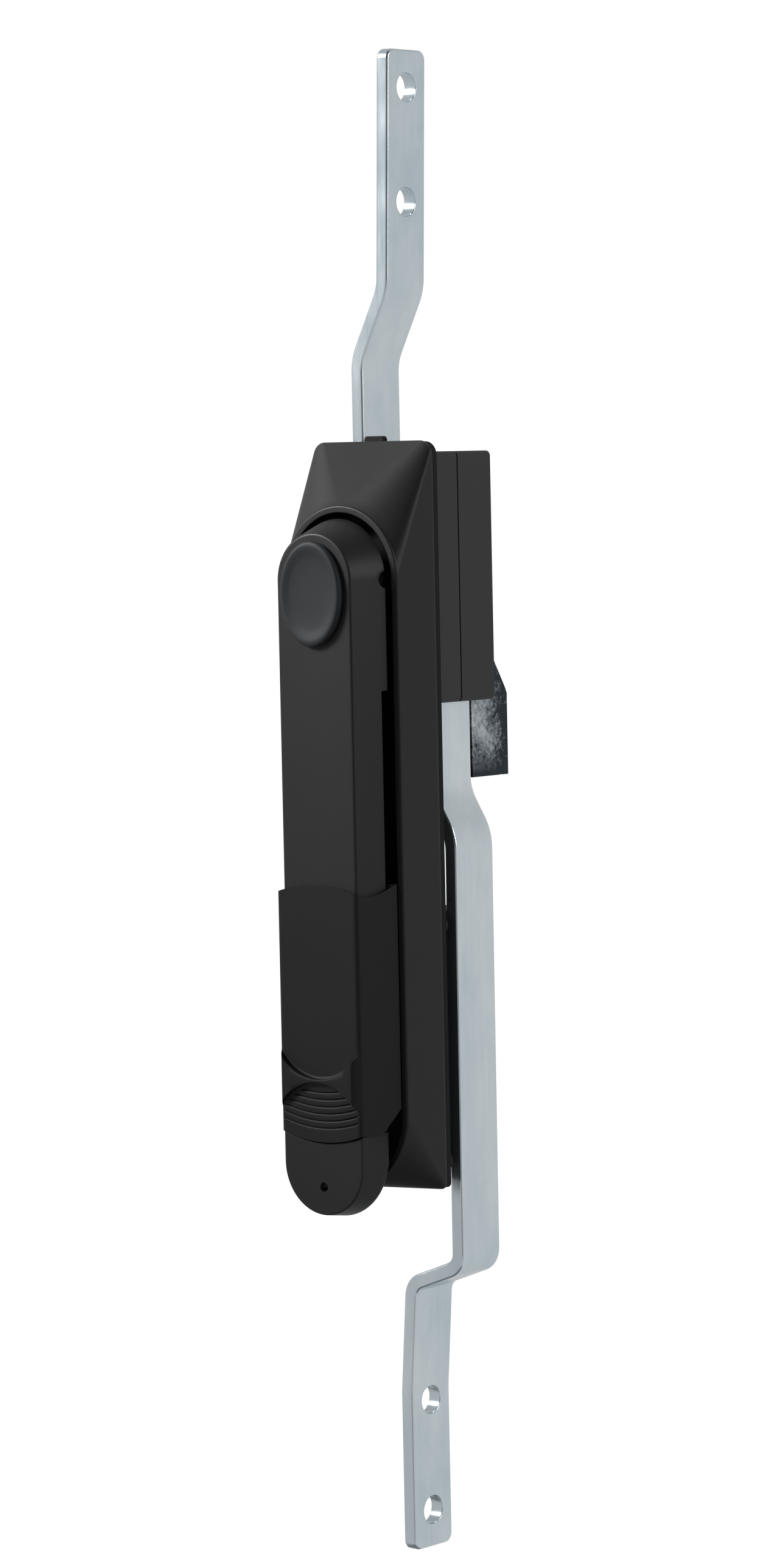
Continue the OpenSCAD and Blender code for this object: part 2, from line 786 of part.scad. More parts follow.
// Straight run of the mirrored half section from z0 to z1.
module run(points, z0, z1) {
    translate([0, 0, z0]) linear_extrude(z1 - z0) {
        polygon(points);
        mirror([1, 0]) polygon(points);
    }
}

module lever_outside() {
    turned(half_section(lever_hw, lever_y, skirt_y, flank, edge_c), 0);
    run(half_section(lever_hw, lever_y, skirt_y, flank, edge_c), -skirt_len, 0);
    run(half_section(lever_hw, lever_y, straight_y, flank, edge_c), smile_z - 6, 0);
    intersection() {
        union() {
            run(half_section(tip_hw, tip_y, straight_y, tip_flank, edge_c), tip_z, smile_z + 6);
            turned(half_section(tip_hw, tip_y, straight_y, tip_flank, edge_c), tip_z);
        }
        xz(tip_y - cut, skirt_y + cut) difference() {
            translate([-tip_w, -lever_len - cut]) square([2 * tip_w, lever_len]);
            above_smile(smile_z - arc_gap, smile_r, 2 * tip_w, 30);
        }
    }
}

function cavity(hw, front, slope) =
    [[0, front + lever_wall],
     [hw + slope * lever_wall - wall_x, front + lever_wall],
     [hw + slope * (skirt_y + 6 - front) - wall_x, skirt_y + 6], [0, skirt_y + 6]];

module lever_inside() {
    turned(cavity(lever_hw, lever_y, flank), 0);
    run(cavity(lever_hw, lever_y, flank), smile_z, 0);
    turned(cavity(tip_hw - 0.6, tip_y + 1, tip_flank), tip_z);
    run(cavity(tip_hw - 0.6, tip_y + 1, tip_flank), tip_z, smile_z + 2);
}

module lever_ear() {
    x_bar(ear_r, ear_in, ear_out, axis_y);
    block([ear_in, lever_y + lever_wall - 0.2, -ear_r], [ear_out - 1.8, axis_y, ear_r]);
}

module handle_lever() {
    color([0.2, 0.2, 0.21])
    difference() {
        union() {
            difference() {
                lever_outside();
                lever_inside();
            }
            both_sides() lever_ear();
            difference() {
                block([-rib_w / 2, lever_y + lever_wall - 0.2, rib_z],
                      [rib_w / 2, flange_front - 0.5, rib_z + rib_t]);
                block([-bar_hw - gap, bar_y - bar_t - gap, rib_z - cut],
                      [bar_hw + gap, bar_y + gap, rib_z + rib_t + cut]);
            }
            xz(lever_y + lever_wall - 0.2, straight_y) difference() {
                lock_profile(window_gap + 1.4);
                lock_profile(window_gap);
            }
            y_bar(3, lever_y + lever_wall - 0.2, detent_end + 1, 0, detent_z);
            for (z = stiffener_z) block([-lever_hw + 2, lever_y + lever_wall - 0.2, z],
                                        [lever_hw - 2, straight_y - 2, z + stiffener_t]);
        }
        x_bar(pin_r + fit, -lever_w, lever_w, axis_y);
        xz(lever_y - cut, lever_y + lever_wall + cut) lock_profile(window_gap);
        y_bar(4.1, lever_y - cut, lever_y + lever_wall + cut, 0, -cap_drop);
        y_bar(pinhole_d / 2, tip_y - cut, skirt_y + cut, 0, -lever_len + pinhole_end);
        y_bar(detent_r + 0.1, lever_y - cut, detent_end, 0, detent_z);
    }
}

module pivot_cap() {
    color([0.19, 0.19, 0.2])
    translate([0, 0, -cap_drop]) {
        hull() {
            xz(lever_y - cap_proud * 0.55, lever_y) oval(cap_w, cap_h);
            xz(lever_y - cap_proud, lever_y - cap_proud * 0.55) oval(cap_w - 1.6, cap_h - 1.6);
        }
        y_bar(4, lever_y - 0.2, lever_y + lever_wall - 0.2);
    }
}

module detent_ball() {
    color([0.8, 0.8, 0.82])
    translate([0, lever_y + 1.3, detent_z]) sphere(r = detent_r);
}

module detent_spring() {
    color([0.5, 0.5, 0.52])
    difference() {
        y_bar(detent_r - 0.1, lever_y + 2.3, detent_end, 0, detent_z);
        y_bar(detent_r - 0.6, lever_y + 1, detent_end + cut, 0, detent_z);
        translate([0, lever_y + 1.3, detent_z]) sphere(r = detent_r + 0.02);
    }
}

module slide_cover() {
    outer = half_section(cover_hw, cover_y, cover_rear, flank, edge_c);
    inner_hw = lever_hw - flank * cover_gap + cover_gap;
    color([0.18, 0.18, 0.19])
    difference() {
        union() {
            difference() {
                run(outer, smile_z, cover_top + 0.6);
                run([[0, cover_in_y], [inner_hw, cover_in_y],
                     [inner_hw + flank * (straight_y + gap - cover_in_y), straight_y + gap],
                     [0, straight_y + gap]], smile_z - cut, cover_top + 2);
                block([-lip_in, straight_y, smile_z - cut], [lip_in, cover_rear + cut, cover_top + 2]);
            }
            intersection() {
                run([[0, waist_y], [waist_hw, waist_y], [cover_hw, cover_y], [cover_hw - 1, cover_in_y],
                     [0, cover_in_y]], smile_z, cover_top);
                xz(waist_y - cut, cover_in_y) difference() {
                    translate([-cover_hw - 2, waist_low - 9]) square([2 * cover_hw + 4, 18]);
                    translate([0, waist_top + waist_r]) circle(waist_r);
                    translate([0, waist_low - waist_r]) circle(waist_r);
                }
            }
        }
        // Front part of the upper edge bows upwards.
        xz(waist_y - cut, cover_in_y + 0.1) difference() {
            translate([-cover_hw - 2, cover_top - 4]) square([2 * cover_hw + 4, 8]);
            translate([0, cover_top - top_arc_r]) circle(top_arc_r);
        }
        // Its sides rise towards the rear in a hollow curve.
        both_sides() yz(cover_hw - 3, cover_hw + 8) intersection() {
            translate([cover_in_y, cover_top - 3]) square([cover_rear - cover_in_y + cut, 6]);
            translate([cover_y + 3, cover_top + 34]) circle(36);
        }
        // Lower edge smiles.
        xz(waist_y - cut, cover_rear + cut) difference() {
            translate([-tip_w, smile_z - 3]) square([2 * tip_w, 20]);
            above_smile(smile_z, smile_r, 2 * tip_w + 2, 30);
        }
        // Lower rear corners are cut back.
        both_sides() yz(cover_hw - 3, cover_hw + 8)
            polygon([[cover_rear + cut, smile_z + 9.6 + cut], [cover_rear - 5.6, smile_z + 3.2],
                     [cover_rear - 5.6, smile_z - cut], [cover_rear + cut, smile_z - cut]]);
        // Thumb grooves.
        for (i = [0:grooves - 1]) xz(cover_y - cut, cover_y + groove_r) intersection() {
            difference() {
                translate([0, groove_first + i * groove_pitch + smile_r]) circle(smile_r + groove_r);
                translate([0, groove_first + i * groove_pitch + smile_r]) circle(smile_r - groove_r);
            }
            translate([0, waist_low - waist_r]) circle(waist_r - 0.8);
            translate([-cover_hw + 1, smile_z]) square([2 * cover_hw - 2, 30]);
        }
    }
}

// Lock: plug, its cam and the bar it lifts

module cylinder_plug() {
    color([0.76, 0.72, 0.55])
    difference() {
        union() {
            y_bar(plug_r, lock_front, lock_back + 0.4, 0, lock_cz);
            y_bar(tail_r, lock_back, cyl_cam_y + cyl_cam_t + 0.6, 0, lock_cz);
        }
        block([-0.8, lock_front - cut, lock_cz - 4], [0.8, lock_front + 12, lock_cz + 4]);
    }
}

// Snail cam: a quarter turn lifts the locking bar evenly by its travel.
module cylinder_cam() {
    rise = [for (a = [0:3:90]) [a, snail_r + bar_travel * a / 90]];
    fall = [for (a = [100:5:130]) [a, snail_r + bar_travel * (1 - (a - 100) / 30)]];
    low = [for (a = [140:10:350]) [a, snail_r]];
    color([0.7, 0.7, 0.68])
    difference() {
        xz(cyl_cam_y, cyl_cam_y + cyl_cam_t) translate([0, lock_cz])
            polygon([for (p = concat(rise, fall, low)) p[1] * [sin(p[0]), cos(p[0])]]);
        y_bar(tail_r, cyl_cam_y - cut, cyl_cam_y + cyl_cam_t + cut, 0, lock_cz);
    }
}

module lock_bar() {
    back = cyl_cam_y + cyl_cam_t - 0.2;
    front = cyl_cam_y + 0.2;
    color([0.68, 0.7, 0.72])
    union() {
        block([-bar_hw, bar_y - bar_t, leg_low], [bar_hw, bar_y, bar_top]);
        block([-bar_hw, bar_y - bar_t, leg_low], [bar_hw, back, leg_top]);
        block([-bar_hw, front, nose_z + 4], [bar_hw, back, leg_top]);
        block([-nose_r, front, nose_z + nose_r], [nose_r, back, leg_top]);
        y_bar(nose_r, front, back, 0, nose_z + nose_r);
    }
}

// Rods

// Flat rod along the given points, cut to its end's outline.
module rod(points, z0, z1) {
    intersection() {
        xz(rod_front, rod_rear) strip(points, rod_t, bend_r);
        yz(-40, 40) round_rect([rod_front, z0], [rod_rear, z1], rod_corner);
    }
}

// Windows that the pinion's teeth turn in.
module rack(x, s) {
    for (i = [-1:rack_windows - 2])
        block([x - rod_t, rod_y - window_w / 2, s * i * rack_pitch - (rack_pitch - web_h) / 2],
              [x + rod_t, rod_y + window_w / 2, s * i * rack_pitch + (rack_pitch - web_h) / 2]);
}

// Two fixing holes, square to the rod's last stretch from a to its end b.
module rod_holes(a, b) {
    back = unit(a - b);
    for (i = [0, 1]) {
        p = b + back * (rod_hole_end + i * rod_hole_pitch);
        translate([p[0], rod_y, p[1]]) rotate([0, atan(back[0] / back[1]), 0])
            x_bar(rod_hole_d / 2, -rod_t, rod_t);
    }
}

module rod_upper() {
    color([0.68, 0.73, 0.77])
    difference() {
        rod(upper_line, -rod_inner_end, upper_end);
        rack(-rod_x, 1);
        rod_holes(upper_line[2], upper_line[3]);
    }
}

module rod_lower() {
    color([0.68, 0.73, 0.77])
    difference() {
        rod(lower_line, -lower_end, rod_inner_end);
        rack(rod_x, -1);
        rod_holes(lower_line[5], lower_line[6]);
    }
}

dish();
gasket();
gearbox_front();
gearbox_rear();
gearbox_screws();
clamp_screws();
lock_well();
well_screws();
lock_cylinder();
cylinder_screw();
bar_guides();
rotor();
retaining_ring();
cross_pin();
tilt_spring();
spindle();
pinion();
cam();
cam_washer();
cam_screw();
handle_lever();
pivot_cap();
detent_ball();
detent_spring();
slide_cover();
cylinder_plug();
cylinder_cam();
lock_bar();
rod_upper();
rod_lower();
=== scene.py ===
import json
import math

import bpy
import bmesh
import numpy as np
from mathutils import Matrix, Vector
from mathutils.geometry import delaunay_2d_cdt

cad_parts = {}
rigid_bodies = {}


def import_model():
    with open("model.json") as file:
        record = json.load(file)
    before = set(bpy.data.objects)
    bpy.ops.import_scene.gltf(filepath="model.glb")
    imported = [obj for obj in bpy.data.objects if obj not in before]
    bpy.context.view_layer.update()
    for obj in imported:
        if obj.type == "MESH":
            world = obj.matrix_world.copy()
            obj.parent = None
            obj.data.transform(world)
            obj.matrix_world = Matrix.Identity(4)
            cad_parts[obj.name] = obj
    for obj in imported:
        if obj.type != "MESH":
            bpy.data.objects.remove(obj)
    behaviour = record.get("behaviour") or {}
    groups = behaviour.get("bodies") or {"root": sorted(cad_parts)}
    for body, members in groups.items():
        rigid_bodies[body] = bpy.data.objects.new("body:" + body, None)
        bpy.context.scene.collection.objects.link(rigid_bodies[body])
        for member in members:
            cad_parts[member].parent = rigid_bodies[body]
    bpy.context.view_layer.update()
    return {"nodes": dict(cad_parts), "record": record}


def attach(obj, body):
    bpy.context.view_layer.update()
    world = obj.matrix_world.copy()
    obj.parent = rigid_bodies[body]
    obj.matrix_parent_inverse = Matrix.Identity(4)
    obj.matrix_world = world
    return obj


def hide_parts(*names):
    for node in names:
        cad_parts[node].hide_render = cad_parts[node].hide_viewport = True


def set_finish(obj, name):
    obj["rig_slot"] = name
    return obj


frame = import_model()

nodes = frame["nodes"]
MM = 0.001  # sizes below are in millimetres, the frame is in metres


# Camera

FOCAL_LENGTH, PICTURE_HEIGHT, HORIZON_RISE = 7930, 2576, 538  # in the photo's pixels
CAMERA_TURN, CAMERA_ROLL = 40.0, -1.2
CAMERA_AT = (0.83435, -0.99144, 0.03238)


def place_camera():
    """The photograph's view: turned round to the right, looking slightly down, with a small roll."""
    turn = math.radians(CAMERA_TURN)
    pitch = math.atan(HORIZON_RISE / FOCAL_LENGTH)
    roll = math.radians(CAMERA_ROLL)
    ahead = Vector((-math.sin(turn) * math.cos(pitch), math.cos(turn) * math.cos(pitch), -math.sin(pitch)))
    right = ahead.cross(Vector((0, 0, 1))).normalized()
    up = right.cross(ahead)
    tilted_right = right * math.cos(roll) + up * math.sin(roll)
    tilted_up = up * math.cos(roll) - right * math.sin(roll)
    data = bpy.data.cameras.new("photo_camera")
    data.sensor_fit = "VERTICAL"
    data.sensor_height = 36
    data.lens = FOCAL_LENGTH / PICTURE_HEIGHT * data.sensor_height
    data.clip_end = 50
    camera = bpy.data.objects.new("photo_camera", data)
    bpy.context.scene.collection.objects.link(camera)
    camera.matrix_world = Matrix((
        (tilted_right.x, tilted_up.x, -ahead.x, CAMERA_AT[0]),
        (tilted_right.y, tilted_up.y, -ahead.y, CAMERA_AT[1]),
        (tilted_right.z, tilted_up.z, -ahead.z, CAMERA_AT[2]),
        (0, 0, 0, 1)))
    bpy.context.scene.camera = camera


place_camera()


# Meshes

class Skin:
    """Closed loops of points, lofted and filled, that become one mesh object."""

    def __init__(self):
        self.points = []
        self.faces = []
        self.count = 0

    def add(self, points):
        points = np.asarray(points, float).reshape(-1, 3)
        first = self.count
        self.points.append(points)
        self.count += len(points)
        return np.arange(first, self.count)

    def loft(self, loops, closed=True):
        """Quads between each loop and the next; loops has the shape rows, points, 3."""
        loops = np.asarray(loops, float)
        index = self.add(loops).reshape(loops.shape[:2])
        here, there = index[:-1], index[1:]
        if closed:
            quads = np.stack([here, np.roll(here, -1, 1), np.roll(there, -1, 1), there], -1)
        else:
            quads = np.stack([here[:, :-1], here[:, 1:], there[:, 1:], there[:, :-1]], -1)
        self.faces.extend(quads.reshape(-1, 4).tolist())

    def fill(self, outline, holes, lift):
        """Triangles between a flat outline and its holes; lift turns the flat points into points in space."""
        loops = [np.asarray(outline, float)] + [np.asarray(h, float) for h in holes]
        corners, edges, first = [], [], 0
        for loop in loops:
            n = len(loop)
            corners.extend(Vector(p) for p in loop)
            edges.extend((first + i, first + (i + 1) % n) for i in range(n))
            first += n
        made = delaunay_2d_cdt(corners, edges, [], 0, 1e-7)
        spots = np.array([list(p) for p in made[0]], float)
        triangles = np.array(made[2], int)
        middle = spots[triangles].mean(1)
        keep = inside(middle, loops[0])
        for hole in loops[1:]:
            keep &= ~inside(middle, hole)
        index = self.add(lift(spots))
        self.faces.extend(index[triangles[keep]].tolist())

    def prism(self, outline, low, high, holes=()):
        """Solid between two lifts of one flat outline, with holes through it."""
        for end in (low, high):
            self.fill(outline, holes, end)
        for loop in (outline, *holes):
            self.loft([low(loop), high(loop)])

    def finish(self, name, body, slot, stands_for=(), sharp=38):
        """Merges doubles, turns the faces outwards, and hands the piece to its body."""
        mesh = bpy.data.meshes.new(name)
        mesh.from_pydata(np.concatenate(self.points).tolist(), [], self.faces)
        work = bmesh.new()
        work.from_mesh(mesh)
        bmesh.ops.remove_doubles(work, verts=work.verts, dist=2e-6)
        bmesh.ops.dissolve_degenerate(work, edges=work.edges, dist=1e-6)
        bmesh.ops.recalc_face_normals(work, faces=work.faces)
        work.to_mesh(mesh)
        work.free()
        even_shading(dress(name, mesh, body, slot, stands_for, sharp))


def dress(name, mesh, body, slot, stands_for, sharp):
    """Makes the mesh a piece that rides on its body and stands for the CAD nodes named."""
    mesh.shade_smooth()
    mesh.set_sharp_from_angle(angle=math.radians(sharp))
    piece = bpy.data.objects.new(name, mesh)
    bpy.context.scene.collection.objects.link(piece)
    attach(piece, body)
    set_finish(piece, slot)
    if stands_for:
        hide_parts(*stands_for)
    return piece


def even_shading(piece):
    """Leans the normals of small faces towards the large faces beside them."""
    even = piece.modifiers.new("even_shading", "WEIGHTED_NORMAL")
    even.keep_sharp = True
    even.weight = 80


def inside(points, outline):
    """Even and odd crossings of a ray to the right of each point."""
    x, z = points[:, 0], points[:, 1]
    x0, z0 = outline[:, 0], outline[:, 1]
    x1, z1 = np.roll(x0, -1), np.roll(z0, -1)
    crosses = (z0[None] > z[:, None]) != (z1[None] > z[:, None])
    with np.errstate(divide="ignore", invalid="ignore"):
        at = (x1 - x0)[None] * (z[:, None] - z0[None]) / (z1 - z0)[None] + x0[None]
    return (np.sum(crosses & (x[:, None] < at), 1) % 2) == 1


def at_depth(y):
    """Lifts X and Z to space at depth y, all in metres."""
    return lambda xz: np.stack([xz[:, 0], np.full(len(xz), y), xz[:, 1]], 1)


def at_height(z):
    """Lifts X and Y to space at height z, all in metres."""
    return lambda xy: np.stack([xy[:, 0], xy[:, 1], np.full(len(xy), z)], 1)


def ring(outline, y):
    """An outline of X and Z as a loop in space at depth y, which may change along it."""
    return np.stack([outline[:, 0], np.broadcast_to(y, len(outline)), outline[:, 1]], 1)


def flat(loop):
    """X and Z of a loop in space."""
    return loop[:, [0, 2]]


def bend(a, b, c, t):
    """Quadratic curve from a to c that leans towards b, for a softened corner."""
    return (1 - t) ** 2 * a + 2 * t * (1 - t) * b + t ** 2 * c


def smooth(a, b, x):
    """Rises from 0 at a to 1 at b, level at both ends."""
    t = np.clip((x - a) / (b - a), 0, 1)
    return t * t * (3 - 2 * t)


def circle(r, x=0.0, z=0.0, n=64):
    t = np.linspace(0, 2 * np.pi, n, endpoint=False)
    return np.stack([x + r * np.cos(t), z + r * np.sin(t)], 1)


def round_box(x0, x1, z0, z1, r, n):
    """Rectangle with n points round each corner of radius r."""
    t = np.linspace(0, np.pi / 2, n)
    left, right, low, high = x0 + r, x1 - r, z0 + r, z1 - r
    spots = []
    for quarter, (x, z) in enumerate(((right, high), (left, high), (left, low), (right, low))):
        a = t + quarter * np.pi / 2
        spots.append(np.stack([x + r * np.cos(a), z + r * np.sin(a)], 1))
    return np.concatenate(spots)


LOCK_R, TAIL_R, LOCK_Z, TAIL_Z = 8.5, 5.0, -119.7, -139.2


def lock_outline(grow):
    """Keyed profile of the lock cylinder: a circle over a narrower tail with a round foot."""
    big, tail = LOCK_R + grow, TAIL_R + grow
    start = -math.acos(tail / big)
    t = np.linspace(start, np.pi - start, 48)
    low = np.linspace(np.pi, 2 * np.pi, 24)
    return np.concatenate([
        np.stack([big * np.cos(t), LOCK_Z + big * np.sin(t)], 1),
        np.stack([tail * np.cos(low), TAIL_Z + tail * np.sin(low)], 1)]) * MM


def soften(node, body, slot, width, segments=3):
    """A copy of a CAD node, merged, flat faces joined, with its edges rounded by width."""
    sharp = 32
    mesh = nodes[node].data.copy()
    work = bmesh.new()
    work.from_mesh(mesh)
    bmesh.ops.remove_doubles(work, verts=work.verts, dist=1e-6)
    bmesh.ops.dissolve_limit(work, angle_limit=math.radians(0.6), verts=work.verts, edges=work.edges,
                             use_dissolve_boundaries=False)
    work.to_mesh(mesh)
    work.free()
    mesh.materials.clear()
    piece = dress(node + "_dressed", mesh, body, slot, (node,), sharp)
    edge = piece.modifiers.new("soft_edges", "BEVEL")
    edge.width = width
    edge.segments = segments
    edge.limit_method = "ANGLE"
    edge.angle_limit = math.radians(sharp)
    even_shading(piece)


# Dish

DISH_HALF, DISH_TOP, DISH_LOW = 20.5, 36.5, -163.5
BACK_CORNER, FOOT_CORNER = 4, 1.6
RIM_R, POCKET_R, POCKET_END = 19.8, 17.8, -142.5
DISH_BACK, EDGE_FRONT, POCKET_FLOOR, BOSS_FRONT, RIM_FRONT = -1.8, -2.8, -5, -8.8, -17
CLAMP_Z, CLAMP_R = 26, 2.5


def dish_loop(y, inset=0, blend=1, r_rim=RIM_R):
    """Loop between the round-cornered back outline (blend 0) and the rim's capsule (blend 1).
    Points with the same outward direction are joined, so the sides are ruled as on a taut skin."""
    w, top, low = DISH_HALF - inset, DISH_TOP - inset, DISH_LOW + inset
    spots = []
    for k, (sx, z) in enumerate(((1, top), (-1, top), (-1, low), (1, low))):
        t = np.linspace(k * np.pi / 2, (k + 1) * np.pi / 2, 20)
        normal = np.stack([np.cos(t), np.sin(t)], 1)
        r = BACK_CORNER if z > 0 else FOOT_CORNER
        back = np.array([sx * (w - r), z - math.copysign(r, z)]) + r * normal
        front = np.array([0, 0 if z > 0 else POCKET_END]) + r_rim * normal
        spots.append(back * (1 - blend) + front * blend)
    return ring(np.concatenate(spots) * MM, y * MM)


def quarter_turn(start, n):
    """Falling and rising share of a rounding's radius along a quarter circle, from a share of the turn."""
    return [(1 - math.sin(t), 1 - math.cos(t)) for t in np.linspace(start, 1, n) * np.pi / 2]


def dish_rows():
    """Loops from the back edge up the sides, over the rim and down into the pocket."""
    edge = ((DISH_BACK, 0.45), (-1.95, 0.12), (-2.3, 0), (EDGE_FRONT, 0))
    rows = [dish_loop(y, inset, 0) for y, inset in edge]
    rows += [dish_loop(EDGE_FRONT - 13.55 * b, 0, b) for b in np.linspace(0.1, 1, 9)]
    for fall, rise in quarter_turn(0.2, 5):
        rows.append(dish_loop(RIM_FRONT + 0.65 * fall, r_rim=RIM_R - 0.6 * rise))
    for fall, rise in quarter_turn(0, 4):
        rows.append(dish_loop(RIM_FRONT + 0.3 * rise, r_rim=POCKET_R + 0.3 * fall))
    rows += [dish_loop(y, r_rim=POCKET_R) for y in (-12, POCKET_FLOOR - 0.6)]
    for fall, rise in quarter_turn(0.25, 4):
        rows.append(dish_loop(POCKET_FLOOR - 0.6 * fall, r_rim=POCKET_R - 0.6 * rise))
    return rows


def build_dish():
    rows = dish_rows()
    skin = Skin()
    skin.loft(rows)
    floor, back, front = POCKET_FLOOR * MM, DISH_BACK * MM, BOSS_FRONT * MM
    bore = circle(9.05 * MM)
    leg_slot = round_box(-4.3 * MM, 4.3 * MM, -107.3 * MM, -94.7 * MM, 0.3 * MM, 3)
    profile = lock_outline(0.1)
    boss, boss_end, boss_bore = (circle(r * MM, 0, -CLAMP_Z * MM, 48) for r in (4.9, 4.7, CLAMP_R))
    upper, lower = (circle(CLAMP_R * MM, 0, z * MM, 32) for z in (CLAMP_Z, -CLAMP_Z))
    skin.fill(flat(rows[-1]), [bore, leg_slot, profile, boss], at_depth(floor))
    skin.fill(flat(rows[0]), [bore, leg_slot, profile, upper, lower], at_depth(back))
    for hole in (bore, leg_slot, profile):
        skin.loft([ring(hole, floor), ring(hole, back)])
    skin.loft([ring(boss, floor), ring(boss, front + 0.2 * MM),
               ring(boss_end, front), ring(boss_bore, front)])
    for hole in (lower, upper):
        skin.loft([ring(hole, front), ring(hole, back)])
    # The upper clamp screw's hole is blind.
    skin.fill(upper, [], at_depth(front))
    skin.finish("dish_shell", "dish_assembly", "handle_coat", ["dish"], sharp=50)


# Lever

FRONT, REAR, STEP = -27.8, -17.35, -19.1
FLANK = math.tan(math.radians(19.4))
HALF, WALL, SOFT = 12.6, 2.33, 0.6
PLATE_REAR = FRONT + 2.2
RIB_FRONT = PLATE_REAR - 0.1
SKIRT_END = -29.2
LEVER_END = -170.0
TIP_FRONT, TIP_HALF, TIP_SLOPE = FRONT - 0.9, 13.6, math.tan(math.radians(8))
TIP_SOFT, TIP_FLOOR, TIP_STEPS = 0.5, FRONT + 2.5, 40
PIN_HOLE = LEVER_END + 8.8
SMILE_LOW, SMILE_R, SMILE_GAP = -149.0, 42.0, 0.25
CAP_Z, CAP_HALF_X, CAP_HALF_Z = -3.4, 10.4, 14
DETENT_Z, DETENT_R = -95, 1.5
CROSS_PIN_Y, NOTCH_R = -16.9, 2.36
# The ear round the cross pin as a turned profile: distance from the middle, and radius.
EAR = ((9.4, 2.35), (9.4, 4.6), (9.6, 4.8), (14.2, 4.8), (14.4, 4.6), (14.4, 2.35), (9.4, 2.35))
# The oval button from its middle to its foot: share of the radius, and height above the lever.
CAP_PROFILE = np.array([
    (0.0, 1.25), (0.25, 1.27), (0.5, 1.35), (0.68, 1.52), (0.78, 1.74), (0.85, 1.92),
    (0.905, 2.0), (0.95, 1.92), (0.98, 1.7), (1.0, 1.3), (1.0, 0.7), (0.985, -0.05)])


def lever_spots():
    """Directions and centres round the lever's outline: unit outward X and Z, and the centre's height."""
    t = np.concatenate([np.linspace(0, 0.2, 14), np.linspace(0.2, np.pi - 0.2, 60)[1:-1],
                        np.linspace(np.pi - 0.2, np.pi, 14)])
    z = np.array([-0.5, -1.0, -1.4, -1.8, -2.1, -2.28, -2.36, -3, -8, -14, -20, -26, -29.1, -29.3,
                  -36, -50, -64, -78, -92, -106, -120, -134])
    low = np.linspace(0, np.pi, 40)
    x = np.concatenate([np.cos(t), np.full(len(z), -1.0), -np.cos(low), np.full(len(z), 1.0)])
    up = np.concatenate([np.sin(t), np.zeros(len(z)), -np.sin(low), np.zeros(len(z))])
    centre = np.concatenate([np.zeros(len(t)), z, np.full(len(low), -140.0), z[::-1]])
    return x, up, centre


def lever_loop(r, y):
    x, up, centre = lever_spots()
    return np.stack([x * r, np.broadcast_to(y, len(x)), centre + up * r], 1) * MM


def lever_rear():
    """Depth of the lever's rear edge: skirt, step below it, and the half-round notch round the cross pin."""
    _, up, centre = lever_spots()
    z = centre + up * 16
    rear = np.where(z > SKIRT_END, REAR, STEP)
    notch = CROSS_PIN_Y - np.sqrt(np.clip(NOTCH_R ** 2 - z ** 2, 0, None))
    return np.where(np.abs(z) < NOTCH_R, np.minimum(rear, notch), rear)


def build_lever():
    rear = lever_rear()
    rows = [lever_loop(HALF - SOFT - 0.05, FRONT)]
    for t in np.linspace(0, 1, 6):
        half = bend(HALF - SOFT, HALF, HALF + FLANK * SOFT, t)
        rows.append(lever_loop(half, bend(FRONT, FRONT, FRONT + SOFT, t)))
    for s in np.linspace(0.15, 0.97, 7):
        y = FRONT + SOFT + s * (rear - FRONT - SOFT)
        rows.append(lever_loop(HALF + FLANK * (y - FRONT), y))
    edge, inner = HALF + FLANK * (rear - FRONT), HALF + 0.7 - WALL
    rows.append(lever_loop(edge - 0.08, rear - 0.08))
    rows.append(lever_loop(edge - 0.3, rear))
    rows.append(lever_loop(edge - WALL + 0.2, rear))
    rows.append(lever_loop(inner + 0.2, PLATE_REAR + 0.4))
    rows.append(lever_loop(inner - 0.4, PLATE_REAR))
    skin = Skin()
    skin.loft(rows)
    front, back = FRONT * MM, PLATE_REAR * MM
    lock, collar = lock_outline(0.4), lock_outline(1.8)
    stem = circle(4.1 * MM, 0, CAP_Z * MM, 48)
    detent = circle(DETENT_R * MM, 0, DETENT_Z * MM, 24)
    skin.fill(flat(rows[0]), [lock, stem, detent], at_depth(front))
    skin.fill(flat(rows[-1]), [lock, stem, detent], at_depth(back))
    for hole in (stem, detent):
        skin.loft([ring(hole, front), ring(hole, back)])
    skin.loft([ring(lock, front), ring(lock, STEP * MM), ring(collar, STEP * MM), ring(collar, back)])
    skin.finish("lever_shell", "lever", "handle_coat", ["handle_lever"], sharp=50)


def build_lever_inside():
    """Ears on the cross pin, the heel rib that the locking bar enters, cross ribs and the detent's boss."""
    skin = Skin()
    front = RIB_FRONT * MM
    for side in (-1, 1):
        skin.loft([np.column_stack([np.full(64, side * x), circle(r, CROSS_PIN_Y)]) * MM for x, r in EAR])
        pad = round_box(side * 11 - 1.6, side * 11 + 1.6, -4.6, 4.6, 0.3, 4) * MM
        skin.prism(pad, at_depth(front), at_depth(-20.8 * MM))
    heel = round_box(-8, 8, RIB_FRONT, -8, 0.3, 4) * MM
    window = round_box(-4.3, 4.3, -11.8, -9.4, 0.2, 4) * MM
    skin.prism(heel, at_height(-13 * MM), at_height(-10 * MM), [window])
    rib = round_box(-10.6, 10.6, RIB_FRONT, -21.1, 0.3, 4) * MM
    for z in (-50, -70):
        skin.prism(rib, at_height(z * MM), at_height((z + 1.6) * MM))
    boss, bore = (circle(r * MM, 0, DETENT_Z * MM, 32) for r in (3, DETENT_R))
    end = -20.5 * MM
    skin.loft([ring(boss, front), ring(boss, end), ring(bore, end), ring(bore, front), ring(boss, front)])
    skin.finish("lever_ribs", "lever", "handle_coat")


def smile(x):
    """Height of the arc that parts the cover from the tip."""
    return SMILE_LOW + SMILE_R - np.sqrt(SMILE_R ** 2 - x ** 2)


